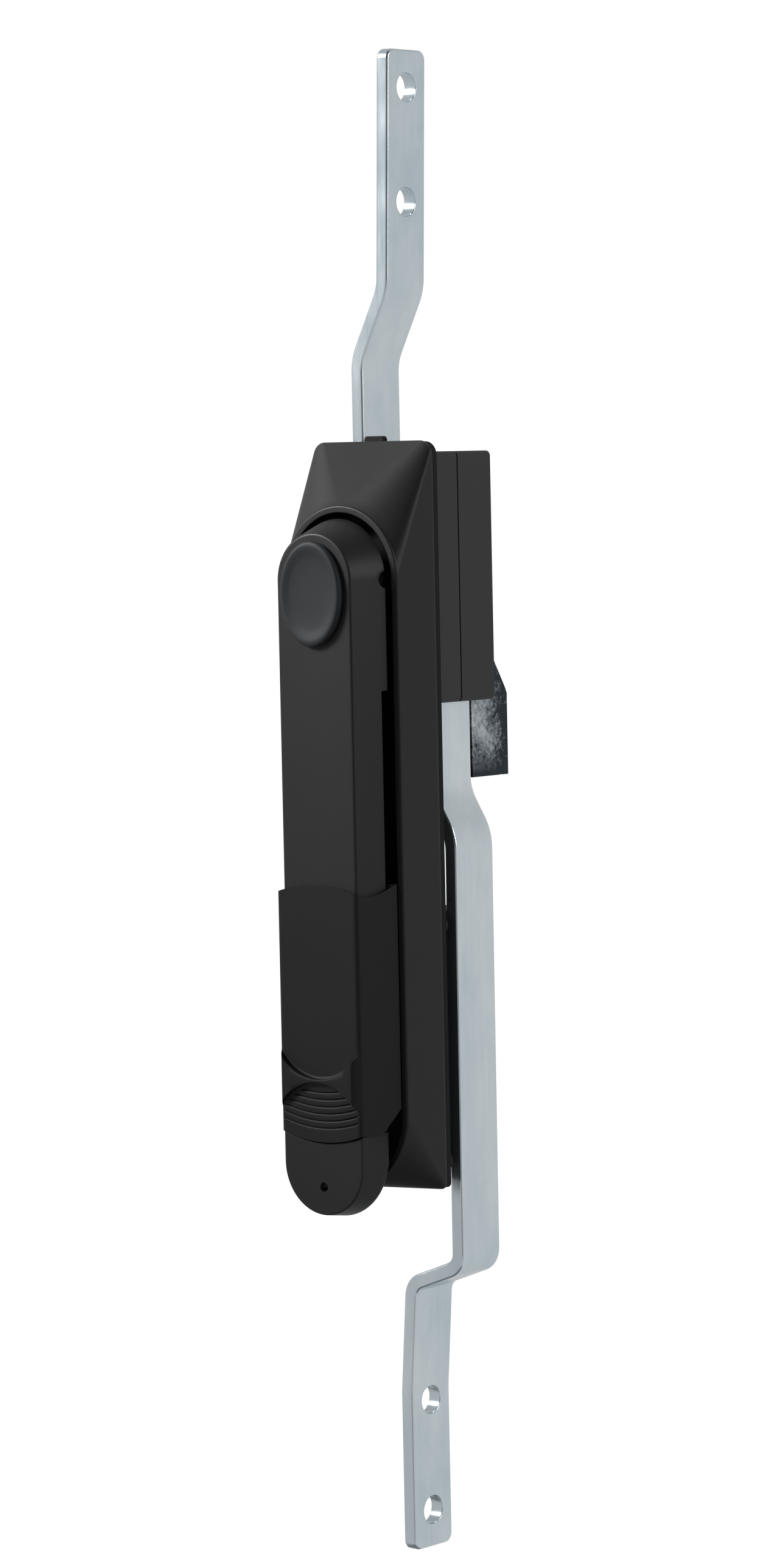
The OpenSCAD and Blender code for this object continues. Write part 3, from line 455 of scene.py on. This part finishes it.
def tip_loop(r, drop, y):
    """Round lower end of the lever under the smile: half circle, sides, and the arc, lower by drop.
    The radius r and the depth y may change along the loop."""
    centre = LEVER_END + TIP_HALF + TIP_SLOPE * (STEP - TIP_FRONT)
    r = np.broadcast_to(r, 2 * TIP_STEPS)
    t = np.linspace(0, np.pi, TIP_STEPS)
    x = np.concatenate([-np.cos(t), np.linspace(1, -1, TIP_STEPS)]) * r
    low = centre - r[:TIP_STEPS] * np.sin(t)
    arc = smile(x[TIP_STEPS:]) - SMILE_GAP - drop
    return ring(np.stack([x, np.concatenate([low, arc])], 1) * MM, y * MM)


def build_tip():
    rows = []
    for t in np.linspace(0, 1, 6):
        half = bend(TIP_HALF - TIP_SOFT, TIP_HALF, TIP_HALF + TIP_SLOPE * TIP_SOFT, t)
        rows.append(tip_loop(half, 0.35 * (1 - t) ** 2, bend(TIP_FRONT, TIP_FRONT, TIP_FRONT + TIP_SOFT, t)))
    # Radius of the rear edge along the loop: wide round the lower end, small at the arc.
    wide = 0.4 + 2.0 * np.sin(np.linspace(0, np.pi, TIP_STEPS)) ** 0.6
    curl = np.concatenate([wide, np.full(TIP_STEPS, 0.4)])
    for share in np.linspace(0, 1, 6)[1:]:
        y = TIP_FRONT + TIP_SOFT + share * (STEP - curl - TIP_FRONT - TIP_SOFT)
        rows.append(tip_loop(TIP_HALF + TIP_SLOPE * (y - TIP_FRONT), 0, y))
    edge = TIP_HALF + TIP_SLOPE * (STEP - curl - TIP_FRONT)
    for fall, rise in quarter_turn(0.15, 8):
        rows.append(tip_loop(edge - curl * rise, 0.3 * rise, STEP - curl * fall))
    rows.append(tip_loop(TIP_HALF - 2.4, 2.4, STEP))
    rows.append(tip_loop(TIP_HALF - 3.0, 2.8, TIP_FLOOR))
    skin = Skin()
    skin.loft(rows)
    front, floor = TIP_FRONT * MM, TIP_FLOOR * MM
    pin, outer = (circle(r * MM, 0, PIN_HOLE * MM, 32) for r in (1.1, 1.35))
    skin.fill(flat(rows[0]), [outer], at_depth(front))
    skin.fill(flat(rows[-1]), [pin], at_depth(floor))
    skin.loft([ring(outer, front), ring(pin, front + 0.3 * MM), ring(pin, floor)])
    skin.finish("lever_tip", "lever", "handle_coat", sharp=50)


def build_cap():
    """Oval button: its profile as a smooth curve through the points, drawn round to an ellipse."""
    last = len(CAP_PROFILE) - 1
    fine = np.linspace(0, last, 60)
    whole = np.floor(fine).astype(int).clip(0, last - 1)
    part = (fine - whole)[:, None]
    p0, p1, p2, p3 = (CAP_PROFILE[np.clip(whole + k, 0, last)] for k in (-1, 0, 1, 2))
    curve = 0.5 * (2 * p1 + (p2 - p0) * part + (2 * p0 - 5 * p1 + 4 * p2 - p3) * part ** 2
                   + (3 * p1 - p0 - 3 * p2 + p3) * part ** 3)
    oval = circle(1, n=128) * [CAP_HALF_X, CAP_HALF_Z]
    rows = [ring((oval * share + [0, CAP_Z]) * MM, (FRONT - height) * MM) for share, height in curve[1:]]
    skin = Skin()
    skin.loft(rows)
    skin.fill(flat(rows[0]), [], at_depth(rows[0][0, 1]))
    stem = circle(4 * MM, 0, CAP_Z * MM, 48)
    foot, end = (FRONT + 0.05) * MM, (FRONT + 2) * MM
    skin.fill(flat(rows[-1]), [stem], at_depth(foot))
    skin.loft([ring(stem, foot), ring(stem, end)])
    skin.fill(stem, [], at_depth(end))
    skin.finish("pivot_button", "lever", "cap_plastic", ["pivot_cap"], sharp=60)


# Sliding cover

COVER_Y, COVER_HALF, COVER_REAR, COVER_WALL = FRONT - 1.55, 13.69, -17.35, 1.4
COVER_SOFT, COVER_TOP, TOP_BOW_R = 1.1, -80.5, 45.0
# Towards the rear the lower edge rises by REAR_RISE within the depth REAR_RUN.
REAR_RISE, REAR_RUN = 6.6, 5.6
WAIST_UP, WAIST_LOW, WAIST_R, WAIST_LIFT = SMILE_LOW + 17.1, SMILE_LOW + 15.8, 16.3, 1.6
# The walls of the waist: distance from the arc, and share of the lift.
WAIST_WALL = ((0.10, 0.06), (0.16, 0.35), (0.22, 0.72), (0.30, 0.94), (0.42, 1.0))
GROOVE_AT, GROOVE_PITCH, GROOVES = 3.8, 1.9, 6
# The inward lips behind the lever's flanks, X and Y, and their ends.
LIP, LIP_HEIGHTS = ((13.3, -18.75), (16.9, -18.75), (17.2, -17.37), (13.3, -17.37)), (-139.0, -80.5)


def cover_section():
    """The cover's outer section from the left rear lip round the front to the right one, as X and Y."""
    right = [(x, COVER_Y) for x in np.linspace(0, COVER_HALF - COVER_SOFT, 58)]
    for t in np.linspace(0, 1, 7)[1:]:
        right.append((bend(COVER_HALF - COVER_SOFT, COVER_HALF, COVER_HALF + FLANK * COVER_SOFT, t),
                      bend(COVER_Y, COVER_Y, COVER_Y + COVER_SOFT, t)))
    for y in np.linspace(COVER_Y + COVER_SOFT, COVER_REAR, 22)[1:]:
        right.append((COVER_HALF + FLANK * (y - COVER_Y), y))
    right = np.array(right)
    left = right[:0:-1] * [-1, 1]
    return np.concatenate([left, right])


def cover_edges(x, y):
    """Heights of the cover's lower and upper edge above each point of the section."""
    inner = np.clip(np.abs(x), 0, COVER_HALF)
    low = smile(inner) + REAR_RISE * np.clip((y - (COVER_REAR - REAR_RUN)) / REAR_RUN, 0, 1)
    # Behind the corner the upper edge sags a little and rises again to the rear.
    back = np.clip((y - COVER_Y) / (COVER_REAR - COVER_Y), 0, 1)
    sag = 0.9 * np.sin(np.pi * np.clip(back * 1.1, 0, 1)) * (back > 0)
    high = COVER_TOP - inner ** 2 / (2 * TOP_BOW_R) - sag + 2.2 * back ** 2
    return low, high


def waist_arcs(x):
    """Heights of the arcs that bound the raised waist: a hump below it and a bowl above it."""
    inner = np.clip(np.abs(x), 0, COVER_HALF)
    drop = WAIST_R - np.sqrt(WAIST_R ** 2 - inner ** 2)
    return WAIST_LOW - drop, WAIST_UP + drop


def groove_depth(x, above, room):
    """Thumb grooves: a fine valley at each pitch above the lower edge, and soft cushions between them."""
    phase = (above - GROOVE_AT) / GROOVE_PITCH
    away = np.abs(phase - np.clip(np.round(phase), 0, GROOVES - 1))
    valley = 0.26 * np.exp(-(away * GROOVE_PITCH / 0.15) ** 2)
    cushion = 0.16 * np.clip(1 - 2 * away, 0, 1) ** 2.5
    within = smooth(0.25, 1.1, room) * smooth(COVER_HALF - 0.5, COVER_HALF - 1.4, np.abs(x))
    return (valley + cushion) * within


def cover_rows(x, low, high):
    """Heights in rows parallel to the lower edge up to the waist, across its two walls, and on to the top.
    The second grid says how far each row stands on the waist, from 0 below and above it to 1 on it."""
    hump, bowl = waist_arcs(x)
    hump = np.maximum(hump, low + 1)
    bowl = np.maximum(bowl, hump + 1)
    # Rows lie close in each groove's valley and wide on the cushions between.
    near = np.array([0.04, 0.09, 0.15, 0.22, 0.32, 0.48, 0.7])
    groove = np.concatenate([[-0.95], -near[::-1], [0], near])
    steps = np.concatenate([[0, 0.15, 0.5, 1.2, 2.0],
                            *(GROOVE_AT + k * GROOVE_PITCH + groove for k in range(GROOVES)),
                            [14.6, 15.3, 40]])
    rows = [(np.minimum(low + step, hump), 0) for step in steps]
    rows += [(hump + out, share) for out, share in WAIST_WALL]
    edge = WAIST_WALL[-1][0]
    rows += [(hump + edge + t * (bowl - hump - 2 * edge), 1) for t in (0.33, 0.67)]
    rows += [(bowl - out, share) for out, share in WAIST_WALL[::-1]]
    rows += [(bowl + t * (high - bowl), 0) for t in np.linspace(0, 1, 26) ** 1.3]
    heights = np.array([height for height, _ in rows])
    return heights, np.array([np.full_like(x, share) for _, share in rows])


def build_cover():
    section = cover_section()
    x, y = section[:, 0], section[:, 1]
    low, high = cover_edges(x, y)
    grid_z, on_waist = cover_rows(x, low, high)
    grid_x, grid_y = (np.broadcast_to(values, grid_z.shape) for values in (x, y))
    on_front = smooth(COVER_Y + 0.6, COVER_Y - 0.05, grid_y)
    ends = np.clip((COVER_HALF - np.abs(grid_x)) / WAIST_LIFT, 0, 1)
    hump, _ = waist_arcs(x)
    lift = WAIST_LIFT * on_waist * ends * on_front
    lift = lift - groove_depth(grid_x, grid_z - low[None], hump[None] - grid_z) * on_front
    outer = np.stack([grid_x, grid_y - lift, grid_z], -1) * MM
    # Inner face: the section drawn in by the wall.
    drawn = COVER_WALL * np.clip(np.abs(x) / 12.2, 0, 1) ** 3
    inner_x = np.broadcast_to(np.sign(x) * np.clip(np.abs(x) - drawn, 0, None), grid_z.shape)
    inner_y = np.broadcast_to(np.clip(y + COVER_WALL, None, COVER_REAR), grid_z.shape)
    inner = np.stack([inner_x, inner_y, grid_z], -1) * MM
    skin = Skin()
    skin.loft(outer, closed=False)
    skin.loft(inner[::-1], closed=False)
    for k in (0, -1):
        skin.loft(np.stack([outer[k], inner[k]]), closed=False)
        skin.loft(np.stack([outer[:, k], inner[:, k]]), closed=False)
    for side in (-1, 1):
        heights = np.linspace(*LIP_HEIGHTS, 12)
        lip = np.array([[(side * lip_x, lip_y, z) for lip_x, lip_y in LIP] for z in heights]) * MM
        skin.loft(lip)
        for end in (lip[0], lip[-1]):
            skin.faces.append(skin.add(end).tolist())
    skin.finish("thumb_cover", "cover", "cover_plastic", ["slide_cover"], sharp=62)


# Flat rods

SHARP_CORNER, TIGHT_BEND, WIDE_BEND = math.radians(65), 5, 14
ROD_HALF, ROD_HALF_T, ROD_Y, ROD_SOFT, ROD_CORNER = 8.0, 2.0, 12.8, 0.7, 2.6
ROD_HOLE_R, RACK_HALF_LENGTH, RACK_HALF_WIDTH = 3.9, 1.84, 4
# Distance of the outer fixing hole from the rod's end, and between the two.
END_HOLE, HOLE_SPACING = 10.1, 30.5
# The pinion has ten teeth on a pitch radius of 10 mm.
PITCH = 2 * math.pi
# Corner points of each rod's centre line, X and Z.
UPPER = [(-11.2, -12.5), (-11.2, 58.5), (-1.8, 77.2), (0.1, 141.2)]
LOWER = [(11.2, 12.5), (11.2, -58), (18.2, -69.5), (17.9, -185.8), (1.2, -192), (-0.9, -222), (-0.9, -265.5)]


def bent_line(points):
    """Positions and lengths along the corner points' line, bent tight at sharp corners and wide at others."""
    points = [np.array(p, float) for p in points]
    line = [points[0]]
    for a, b, c in zip(points, points[1:], points[2:]):
        u, v = (a - b) / np.linalg.norm(a - b), (c - b) / np.linalg.norm(c - b)
        half = math.acos(np.clip(u @ v, -1, 1)) / 2
        radius = TIGHT_BEND if half < SHARP_CORNER else WIDE_BEND
        reach = radius / math.tan(half)
        middle = b + (u + v) / np.linalg.norm(u + v) * radius / math.sin(half)
        p, q = b + u * reach - middle, b + v * reach - middle
        turn = math.acos(np.clip(p @ q / radius ** 2, -1, 1))
        for t in np.linspace(0, 1, 14):
            line.append(middle + (math.sin((1 - t) * turn) * p + math.sin(t * turn) * q) / math.sin(turn))
    line.append(points[-1])
    line = np.array(line)
    length = np.concatenate([[0], np.cumsum(np.linalg.norm(np.diff(line, axis=0), axis=1))])
    return line, length


def heights_at(corners, heights):
    """Lengths along the bent line at which it passes the given heights."""
    line, length = bent_line(corners)
    order = np.argsort(line[:, 1])
    return np.interp(heights, line[order, 1], length[order])


def build_rod(name, node, body, corners, rack):
    """Flat bar: its outline and holes are filled in length and width, and bent onto the centre line."""
    line, length = bent_line(corners)
    total = length[-1]

    def lift(depth):
        """Lifts length and width to space, this far across the thickness from its middle."""
        def at(s):
            return np.stack([np.interp(s, length, line[:, 0]), np.interp(s, length, line[:, 1])], 1)

        def place(spots):
            s, w = spots[:, 0] / MM, spots[:, 1] / MM
            ahead = at(s + 0.2) - at(s - 0.2)
            ahead /= np.linalg.norm(ahead, axis=1)[:, None]
            x, z = at(s).T
            return np.stack([x + ahead[:, 1] * depth, ROD_Y + w, z - ahead[:, 0] * depth], 1) * MM
        return place

    def edge_loop(inset):
        """The bar's outline in length and width, with a point at every point of the centre line."""
        t = np.linspace(0, np.pi / 2, 8)
        r = max(ROD_CORNER - inset, 0.2)
        w = ROD_HALF - inset
        near, far = inset + r, total - inset - r
        s = [k for k in length if 3.2 < k < total - 3.2]

        def arc(middle, across, start):
            return np.stack([middle + r * np.cos(t + start), across + r * np.sin(t + start)], 1)
        return np.concatenate([
            arc(far, w - r, 0), np.stack([s[::-1], np.full(len(s), w)], 1),
            arc(near, w - r, np.pi / 2), arc(near, r - w, np.pi),
            np.stack([s, np.full(len(s), -w)], 1), arc(far, r - w, 1.5 * np.pi)]) * MM

    def cut_loops(grow):
        """Outlines of the fixing holes and rack windows, larger by grow."""
        r, half_s, half_w = ROD_HOLE_R + grow, RACK_HALF_LENGTH + grow, RACK_HALF_WIDTH + grow
        outer = total - END_HOLE
        loops = [circle(r * MM, s * MM, 0, 48) for s in (outer, outer - HOLE_SPACING)]
        for s in heights_at(corners, rack):
            window = round_box(s - half_s, s + half_s, -half_w, half_w, 0.3, 3)
            loops.append(window * MM)
        return loops

    skin = Skin()
    for side in (1, -1):
        skin.fill(edge_loop(ROD_SOFT), cut_loops(0.25), lift(side * ROD_HALF_T))
    rows = []
    for side, shares in ((1, np.linspace(0, 1, 5)), (-1, np.linspace(1, 0, 5))):
        for t in shares * np.pi / 2:
            depth = ROD_HALF_T - ROD_SOFT * (1 - math.cos(t))
            rows.append(lift(side * depth)(edge_loop(ROD_SOFT * (1 - math.sin(t)))))
    skin.loft(rows)
    # Each cut's edge is softened on both faces: distance from the face, and growth there.
    soft = ((0, 0.25), (0.08, 0.08), (0.25, 0))
    walls = [(ROD_HALF_T - down, cut_loops(grow)) for down, grow in soft]
    walls += [(-depth, loops) for depth, loops in walls[::-1]]
    for k in range(len(walls[0][1])):
        skin.loft([lift(depth)(loops[k]) for depth, loops in walls])
    skin.finish(name, body, "zinc_rod", [node], sharp=40)


build_dish()
build_lever()
build_lever_inside()
build_tip()
build_cap()
build_cover()
build_rod("upper_flat_rod", "rod_upper", "upper_rod", UPPER, [k * PITCH for k in range(-1, 5)])
build_rod("lower_flat_rod", "rod_lower", "lower_rod", LOWER, [-k * PITCH for k in range(-1, 5)])
soften("gearbox_front", "dish_assembly", "box_plastic", 0.45 * MM)
soften("gearbox_rear", "dish_assembly", "box_plastic", 0.45 * MM)
soften("lock_well", "dish_assembly", "well_plastic", 0.4 * MM)
soften("gasket", "dish_assembly", "gasket_rubber", 0.2 * MM, segments=2)
soften("cam", "rotor", "cam_plate", 0.35 * MM)


# Materials

class Val:
    """A socket that takes part in Python arithmetic; each operator adds one Math node."""

    def __init__(self, tree, socket):
        self.tree, self.socket = tree, socket

    def math(self, kind, other):
        node = self.tree.nodes.new("ShaderNodeMath")
        node.operation = kind
        for k, value in enumerate((self, other)):
            if isinstance(value, Val):
                self.tree.links.new(value.socket, node.inputs[k])
            else:
                node.inputs[k].default_value = value
        return Val(self.tree, node.outputs[0])

    def __add__(self, other):
        return self.math("ADD", other)

    def __mul__(self, other):
        return self.math("MULTIPLY", other)

    def __sub__(self, other):
        return self.math("SUBTRACT", other)

    def __rsub__(self, other):
        return (self * -1.0) + other

    __radd__ = __add__
    __rmul__ = __mul__

    def clip(self, low=0.0, high=1.0):
        return self.math("MAXIMUM", low).math("MINIMUM", high)


class Finish:
    """One material: its nodes, and the parts that every finish here uses."""

    def __init__(self, name):
        self.material = bpy.data.materials.new(name)
        self.material.use_nodes = True
        self.tree = self.material.node_tree
        self.shader = self.tree.nodes["Principled BSDF"]
        self.place = self.tree.nodes.new("ShaderNodeTexCoord").outputs["Object"]

    def feed(self, socket, value):
        """Links a Val or an output to the socket, or gives the socket the plain value."""
        if isinstance(value, Val):
            self.tree.links.new(value.socket, socket)
        elif hasattr(value, "is_output"):
            self.tree.links.new(value, socket)
        else:
            socket.default_value = value

    def node(self, kind, **sockets):
        made = self.tree.nodes.new(kind)
        for key, value in sockets.items():
            self.feed(made.inputs[key], value)
        return made

    def noise(self, scale, detail, rough, stretch=(1, 1, 1)):
        place = self.node("ShaderNodeMapping", Vector=self.place, Scale=stretch).outputs[0]
        made = self.node("ShaderNodeTexNoise", Vector=place, Scale=scale, Detail=detail, Roughness=rough)
        return Val(self.tree, made.outputs[0])

    def blend(self, factor, low, high):
        made = self.tree.nodes.new("ShaderNodeMix")
        made.data_type = "RGBA"
        for k, value in ((0, factor), (6, low), (7, high)):
            self.feed(made.inputs[k], value)
        return made.outputs[2]

    def bump(self, height, distance):
        return self.node("ShaderNodeBump", Height=height, Distance=distance).outputs[0]

    def set(self, **sockets):
        for key, value in sockets.items():
            self.feed(self.shader.inputs[key.replace("_", " ")], value)
        return self.material


def coat(name, dark, light, grain, grain_depth, rough, sheen):
    """Matt skin on a dark part: fine grain in the surface, faint cloudy change of tone and gloss."""
    f = Finish(name)
    cloud = f.noise(38, 3, 0.55)
    speck = f.noise(grain, 2, 0.6)
    tone = (cloud * 0.55 + speck * 0.45).clip()
    colour = f.blend(tone, dark, light)
    height = speck * 0.7 + f.noise(grain * 2.3, 1, 0.5) * 0.3
    gloss = (rough + (cloud - 0.5) * 0.1 + (speck - 0.5) * 0.08).clip()
    return f.set(Base_Color=colour, Roughness=gloss, Normal=f.bump(height, grain_depth),
                 Specular_IOR_Level=sheen)


def zinc(name):
    """Bright zinc on flat bar: pale blue grey, clouded in patches, with fine lengthwise scratches."""
    f = Finish(name)
    cloud = f.noise(26, 4, 0.62, (1, 1, 0.55))
    patch = f.noise(95, 3, 0.6, (1, 1, 0.4))
    scratch = f.noise(900, 2, 0.5, (1, 1, 0.03))
    cross = f.noise(700, 2, 0.5, (1, 0.05, 1))
    tone = ((cloud - 0.5) * 1.5 + (patch - 0.5) * 0.6 + (scratch - 0.5) * 0.2 + 0.5).clip()
    colour = f.blend(tone, (0.52, 0.63, 0.70, 1), (0.84, 0.89, 0.91, 1))
    rough = (0.21 + (cloud - 0.5) * 0.25 + (patch - 0.5) * 0.2 + (scratch - 0.5) * 0.12).clip(0.1, 0.6)
    height = scratch * 0.35 + cross * 0.15 + patch * 0.5
    return f.set(Base_Color=colour, Metallic=0.9, Roughness=rough, Normal=f.bump(height, 0.00006))


def metal(name, dark, light, rough, scale=120, depth=0.00003):
    """Plain metal with clouded tone and gloss."""
    f = Finish(name)
    cloud = f.noise(scale, 3, 0.6)
    fine = f.noise(scale * 9, 2, 0.5)
    colour = f.blend((cloud * 0.7 + fine * 0.3).clip(), dark, light)
    gloss = (rough + (cloud - 0.5) * 0.2 + (fine - 0.5) * 0.1).clip(0.05, 0.9)
    return f.set(Base_Color=colour, Metallic=1.0, Roughness=gloss,
                 Normal=f.bump(cloud * 0.4 + fine * 0.6, depth))


def cast_plate(name):
    """Bright plate over an uneven casting: mottled at random, with painted light that makes it pale beside
    the gearbox and painted shade that makes it dark behind and below.
    """
    f = Finish(name)
    drift = f.noise(120, 3, 0.6, (1, 1, 0.6))
    dent = f.noise(750, 3, 0.65)
    fleck = f.noise(2400, 2, 0.6)
    split = f.node("ShaderNodeSeparateXYZ", Vector=f.place)
    depth, height = Val(f.tree, split.outputs[1]), Val(f.tree, split.outputs[2])
    # Painted shade darkens the plate below a set height, and painted light makes it pale in front of a set
    # depth, beside the gearbox.
    clear_of_painted_shade = ((height + 0.054) * 160.0).clip()
    painted_light_by_box = ((0.0385 - depth) * 95.0).clip()
    mottle = (drift - 0.5) * 2.2 + (dent - 0.5) * 1.6 + (fleck - 0.5) * 0.5
    # The random mottle is the casting's own; the painted light by the box and the painted shade below are
    # added to it here.
    pale = (mottle + painted_light_by_box * 0.7 - 0.2).clip() * clear_of_painted_shade
    colour = f.blend(pale, (0.03, 0.038, 0.047, 1), (0.58, 0.64, 0.68, 1))
    gloss = (0.25 + (drift - 0.5) * 0.3).clip(0.1, 0.5)
    return f.set(Base_Color=colour, Metallic=1.0, Roughness=gloss,
                 Normal=f.bump(dent * 0.8 + fleck * 0.2, 0.00012))


def grey(level):
    return (level, level, level, 1)


FINISHES = {
    "handle_coat": coat("powder_coat", grey(0.0135), grey(0.020), 2600, 0.00002, 0.44, 0.25),
    "cover_plastic": coat("cover_grain", grey(0.011), grey(0.017), 3000, 0.000016, 0.46, 0.17),
    "cap_plastic": coat("button_grain", (0.017, 0.019, 0.022, 1), (0.024, 0.027, 0.031, 1),
                        3000, 0.00001, 0.55, 0.22),
    "box_plastic": coat("box_skin", grey(0.037), grey(0.046), 1800, 0.000012, 0.55, 0.3),
    "well_plastic": coat("well_skin", grey(0.010), grey(0.015), 1800, 0.000015, 0.55, 0.25),
    "gasket_rubber": coat("black_rubber", grey(0.005), grey(0.009), 1500, 0.00002, 0.7, 0.2),
    "zinc_rod": zinc("bright_zinc"),
    "cam_plate": cast_plate("bright_cast_plate"),
    "zinc_screw": metal("zinc_screw_plate", (0.5, 0.55, 0.58, 1), (0.7, 0.74, 0.76, 1), 0.3),
    "sheet_steel": metal("zinc_sheet", (0.45, 0.5, 0.54, 1), (0.62, 0.66, 0.69, 1), 0.35),
    "black_casting": coat("black_casting", grey(0.006), grey(0.010), 1500, 0.00002, 0.65, 0.2),
    "black_screw": coat("blackened_steel", grey(0.008), grey(0.014), 1500, 0.00001, 0.5, 0.25),
    "spring_steel": metal("oiled_spring", (0.12, 0.12, 0.13, 1), (0.25, 0.25, 0.27, 1), 0.35),
    "ground_pin": metal("ground_pin_steel", (0.6, 0.61, 0.63, 1), (0.75, 0.76, 0.78, 1), 0.18),
    "spindle_steel": metal("drawn_square_steel", (0.42, 0.43, 0.45, 1), (0.55, 0.56, 0.58, 1), 0.32),
    "sintered_steel": metal("sintered_gear", (0.2, 0.2, 0.21, 1), (0.33, 0.33, 0.35, 1), 0.5, 400, 0.00006),
    "nickel": metal("satin_nickel", (0.5, 0.49, 0.46, 1), (0.64, 0.63, 0.6, 1), 0.28),
    "brass_plug": metal("turned_brass", (0.62, 0.46, 0.2, 1), (0.78, 0.62, 0.32, 1), 0.25),
}

slot_of = {nodes[s["node"]]: s["material_slot"] for s in frame["record"]["subparts"]}
slot_of.update({piece: piece["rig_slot"] for piece in bpy.data.objects if "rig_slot" in piece})
for piece, slot in slot_of.items():
    piece.data.materials.clear()
    piece.data.materials.append(FINISHES[slot])


# Studio

def lamp(name, at, aim, size, power, tall=None, spread=180, mirrored=True):
    """Area lamp; spread narrows its beam, and mirrored says whether it shows in reflections."""
    data = bpy.data.lights.new(name, "AREA")
    data.shape = "RECTANGLE"
    data.size = size
    data.size_y = tall or size
    data.energy = power
    data.spread = math.radians(spread)
    made = bpy.data.objects.new(name, data)
    bpy.context.scene.collection.objects.link(made)
    made.visible_glossy = mirrored
    made.location = at
    made.rotation_euler = (Vector(aim) - Vector(at)).to_track_quat("-Z", "Y").to_euler()


FLOOR_HALF, FLOOR_Z = 0.45, -0.75


def white_ground():
    """Pale floor below the hanging handle: white to the camera, plain grey to lamps and in reflections."""
    mesh = bpy.data.meshes.new("floor")
    spots = [(x * FLOOR_HALF, y * FLOOR_HALF, FLOOR_Z) for x, y in ((-1, -1), (1, -1), (1, 1), (-1, 1))]
    mesh.from_pydata(spots, [], [(0, 1, 2, 3)])
    floor = bpy.data.objects.new("floor", mesh)
    bpy.context.scene.collection.objects.link(floor)
    material = bpy.data.materials.new("floor_white")
    material.use_nodes = True
    tree = material.node_tree
    shader = tree.nodes["Principled BSDF"]
    shader.inputs["Base Color"].default_value = (0.8, 0.8, 0.8, 1)
    shader.inputs["Roughness"].default_value = 0.9
    glow = tree.nodes.new("ShaderNodeEmission")
    glow.inputs["Strength"].default_value = 1.0
    rays = tree.nodes.new("ShaderNodeLightPath")
    mix = tree.nodes.new("ShaderNodeMixShader")
    tree.links.new(rays.outputs["Is Camera Ray"], mix.inputs[0])
    tree.links.new(shader.outputs[0], mix.inputs[1])
    tree.links.new(glow.outputs[0], mix.inputs[2])
    tree.links.new(mix.outputs[0], tree.nodes["Material Output"].inputs[0])
    mesh.materials.append(material)


def white_world():
    world = bpy.data.worlds.new("studio_world")
    bpy.context.scene.world = world
    world.use_nodes = True
    tree = world.node_tree
    tree.nodes.clear()
    rays = tree.nodes.new("ShaderNodeLightPath")
    place = tree.nodes.new("ShaderNodeTexCoord").outputs["Generated"]
    camera, glossy = (Val(tree, rays.outputs[k]) for k in ("Is Camera Ray", "Is Glossy Ray"))

    def towards(x, y, z, near, far):
        """1 within the cosine near of a direction, falling to 0 at the cosine far."""
        dot = tree.nodes.new("ShaderNodeVectorMath")
        dot.operation = "DOT_PRODUCT"
        tree.links.new(place, dot.inputs[0])
        dot.inputs[1].default_value = Vector((x, y, z)).normalized()
        t = ((Val(tree, dot.outputs["Value"]) - far) * (1 / (near - far))).clip()
        return t * t * (t * -2.0 + 3.0)

    dim = towards(*DARK_SIDE, 0.88, 0.45) * 0.97
    split = tree.nodes.new("ShaderNodeSeparateXYZ")
    tree.links.new(place, split.inputs[0])
    upward = Val(tree, split.outputs[2]).clip()
    wall = towards(*WHITE_SIDE, 0.8, -0.2) * (WHITE_LEVEL - FRONT_LEVEL)
    mirrored = wall + FRONT_LEVEL - upward * CEILING_DROP
    level = camera + (1 - camera) * (glossy * mirrored * (1 - dim) + (1 - glossy) * WORLD_FILL)
    light = tree.nodes.new("ShaderNodeBackground")
    light.inputs[0].default_value = (1, 1, 1, 1)
    tree.links.new(level.socket, light.inputs[1])
    out = tree.nodes.new("ShaderNodeOutputWorld")
    tree.links.new(light.outputs[0], out.inputs[0])


# Diffuse fill, and what glossy parts mirror: a white wall behind on the right, a grey front that darkens
# upwards, and a dark patch high in front.
WORLD_FILL, FRONT_LEVEL, WHITE_LEVEL, CEILING_DROP = 0.14, 0.55, 0.66, 0.16
WHITE_SIDE, DARK_SIDE = (0.6, 0.8, 0), (0.42, -0.65, 0.63)
white_ground()
white_world()
lamp("key_box", (-0.85, -0.8, 0.66), (0, 0, 0.14), 0.4, 1.45, spread=36)
lamp("side_box", (1.75, 0.25, 0.6), (0, 0, 0.02), 0.4, 9, tall=0.8)
lamp("front_fill", (0.9, -1.9, 0.2), (0, 0, -0.05), 1.2, 1.5, mirrored=False)

bpy.context.scene.view_settings.view_transform = "Standard"
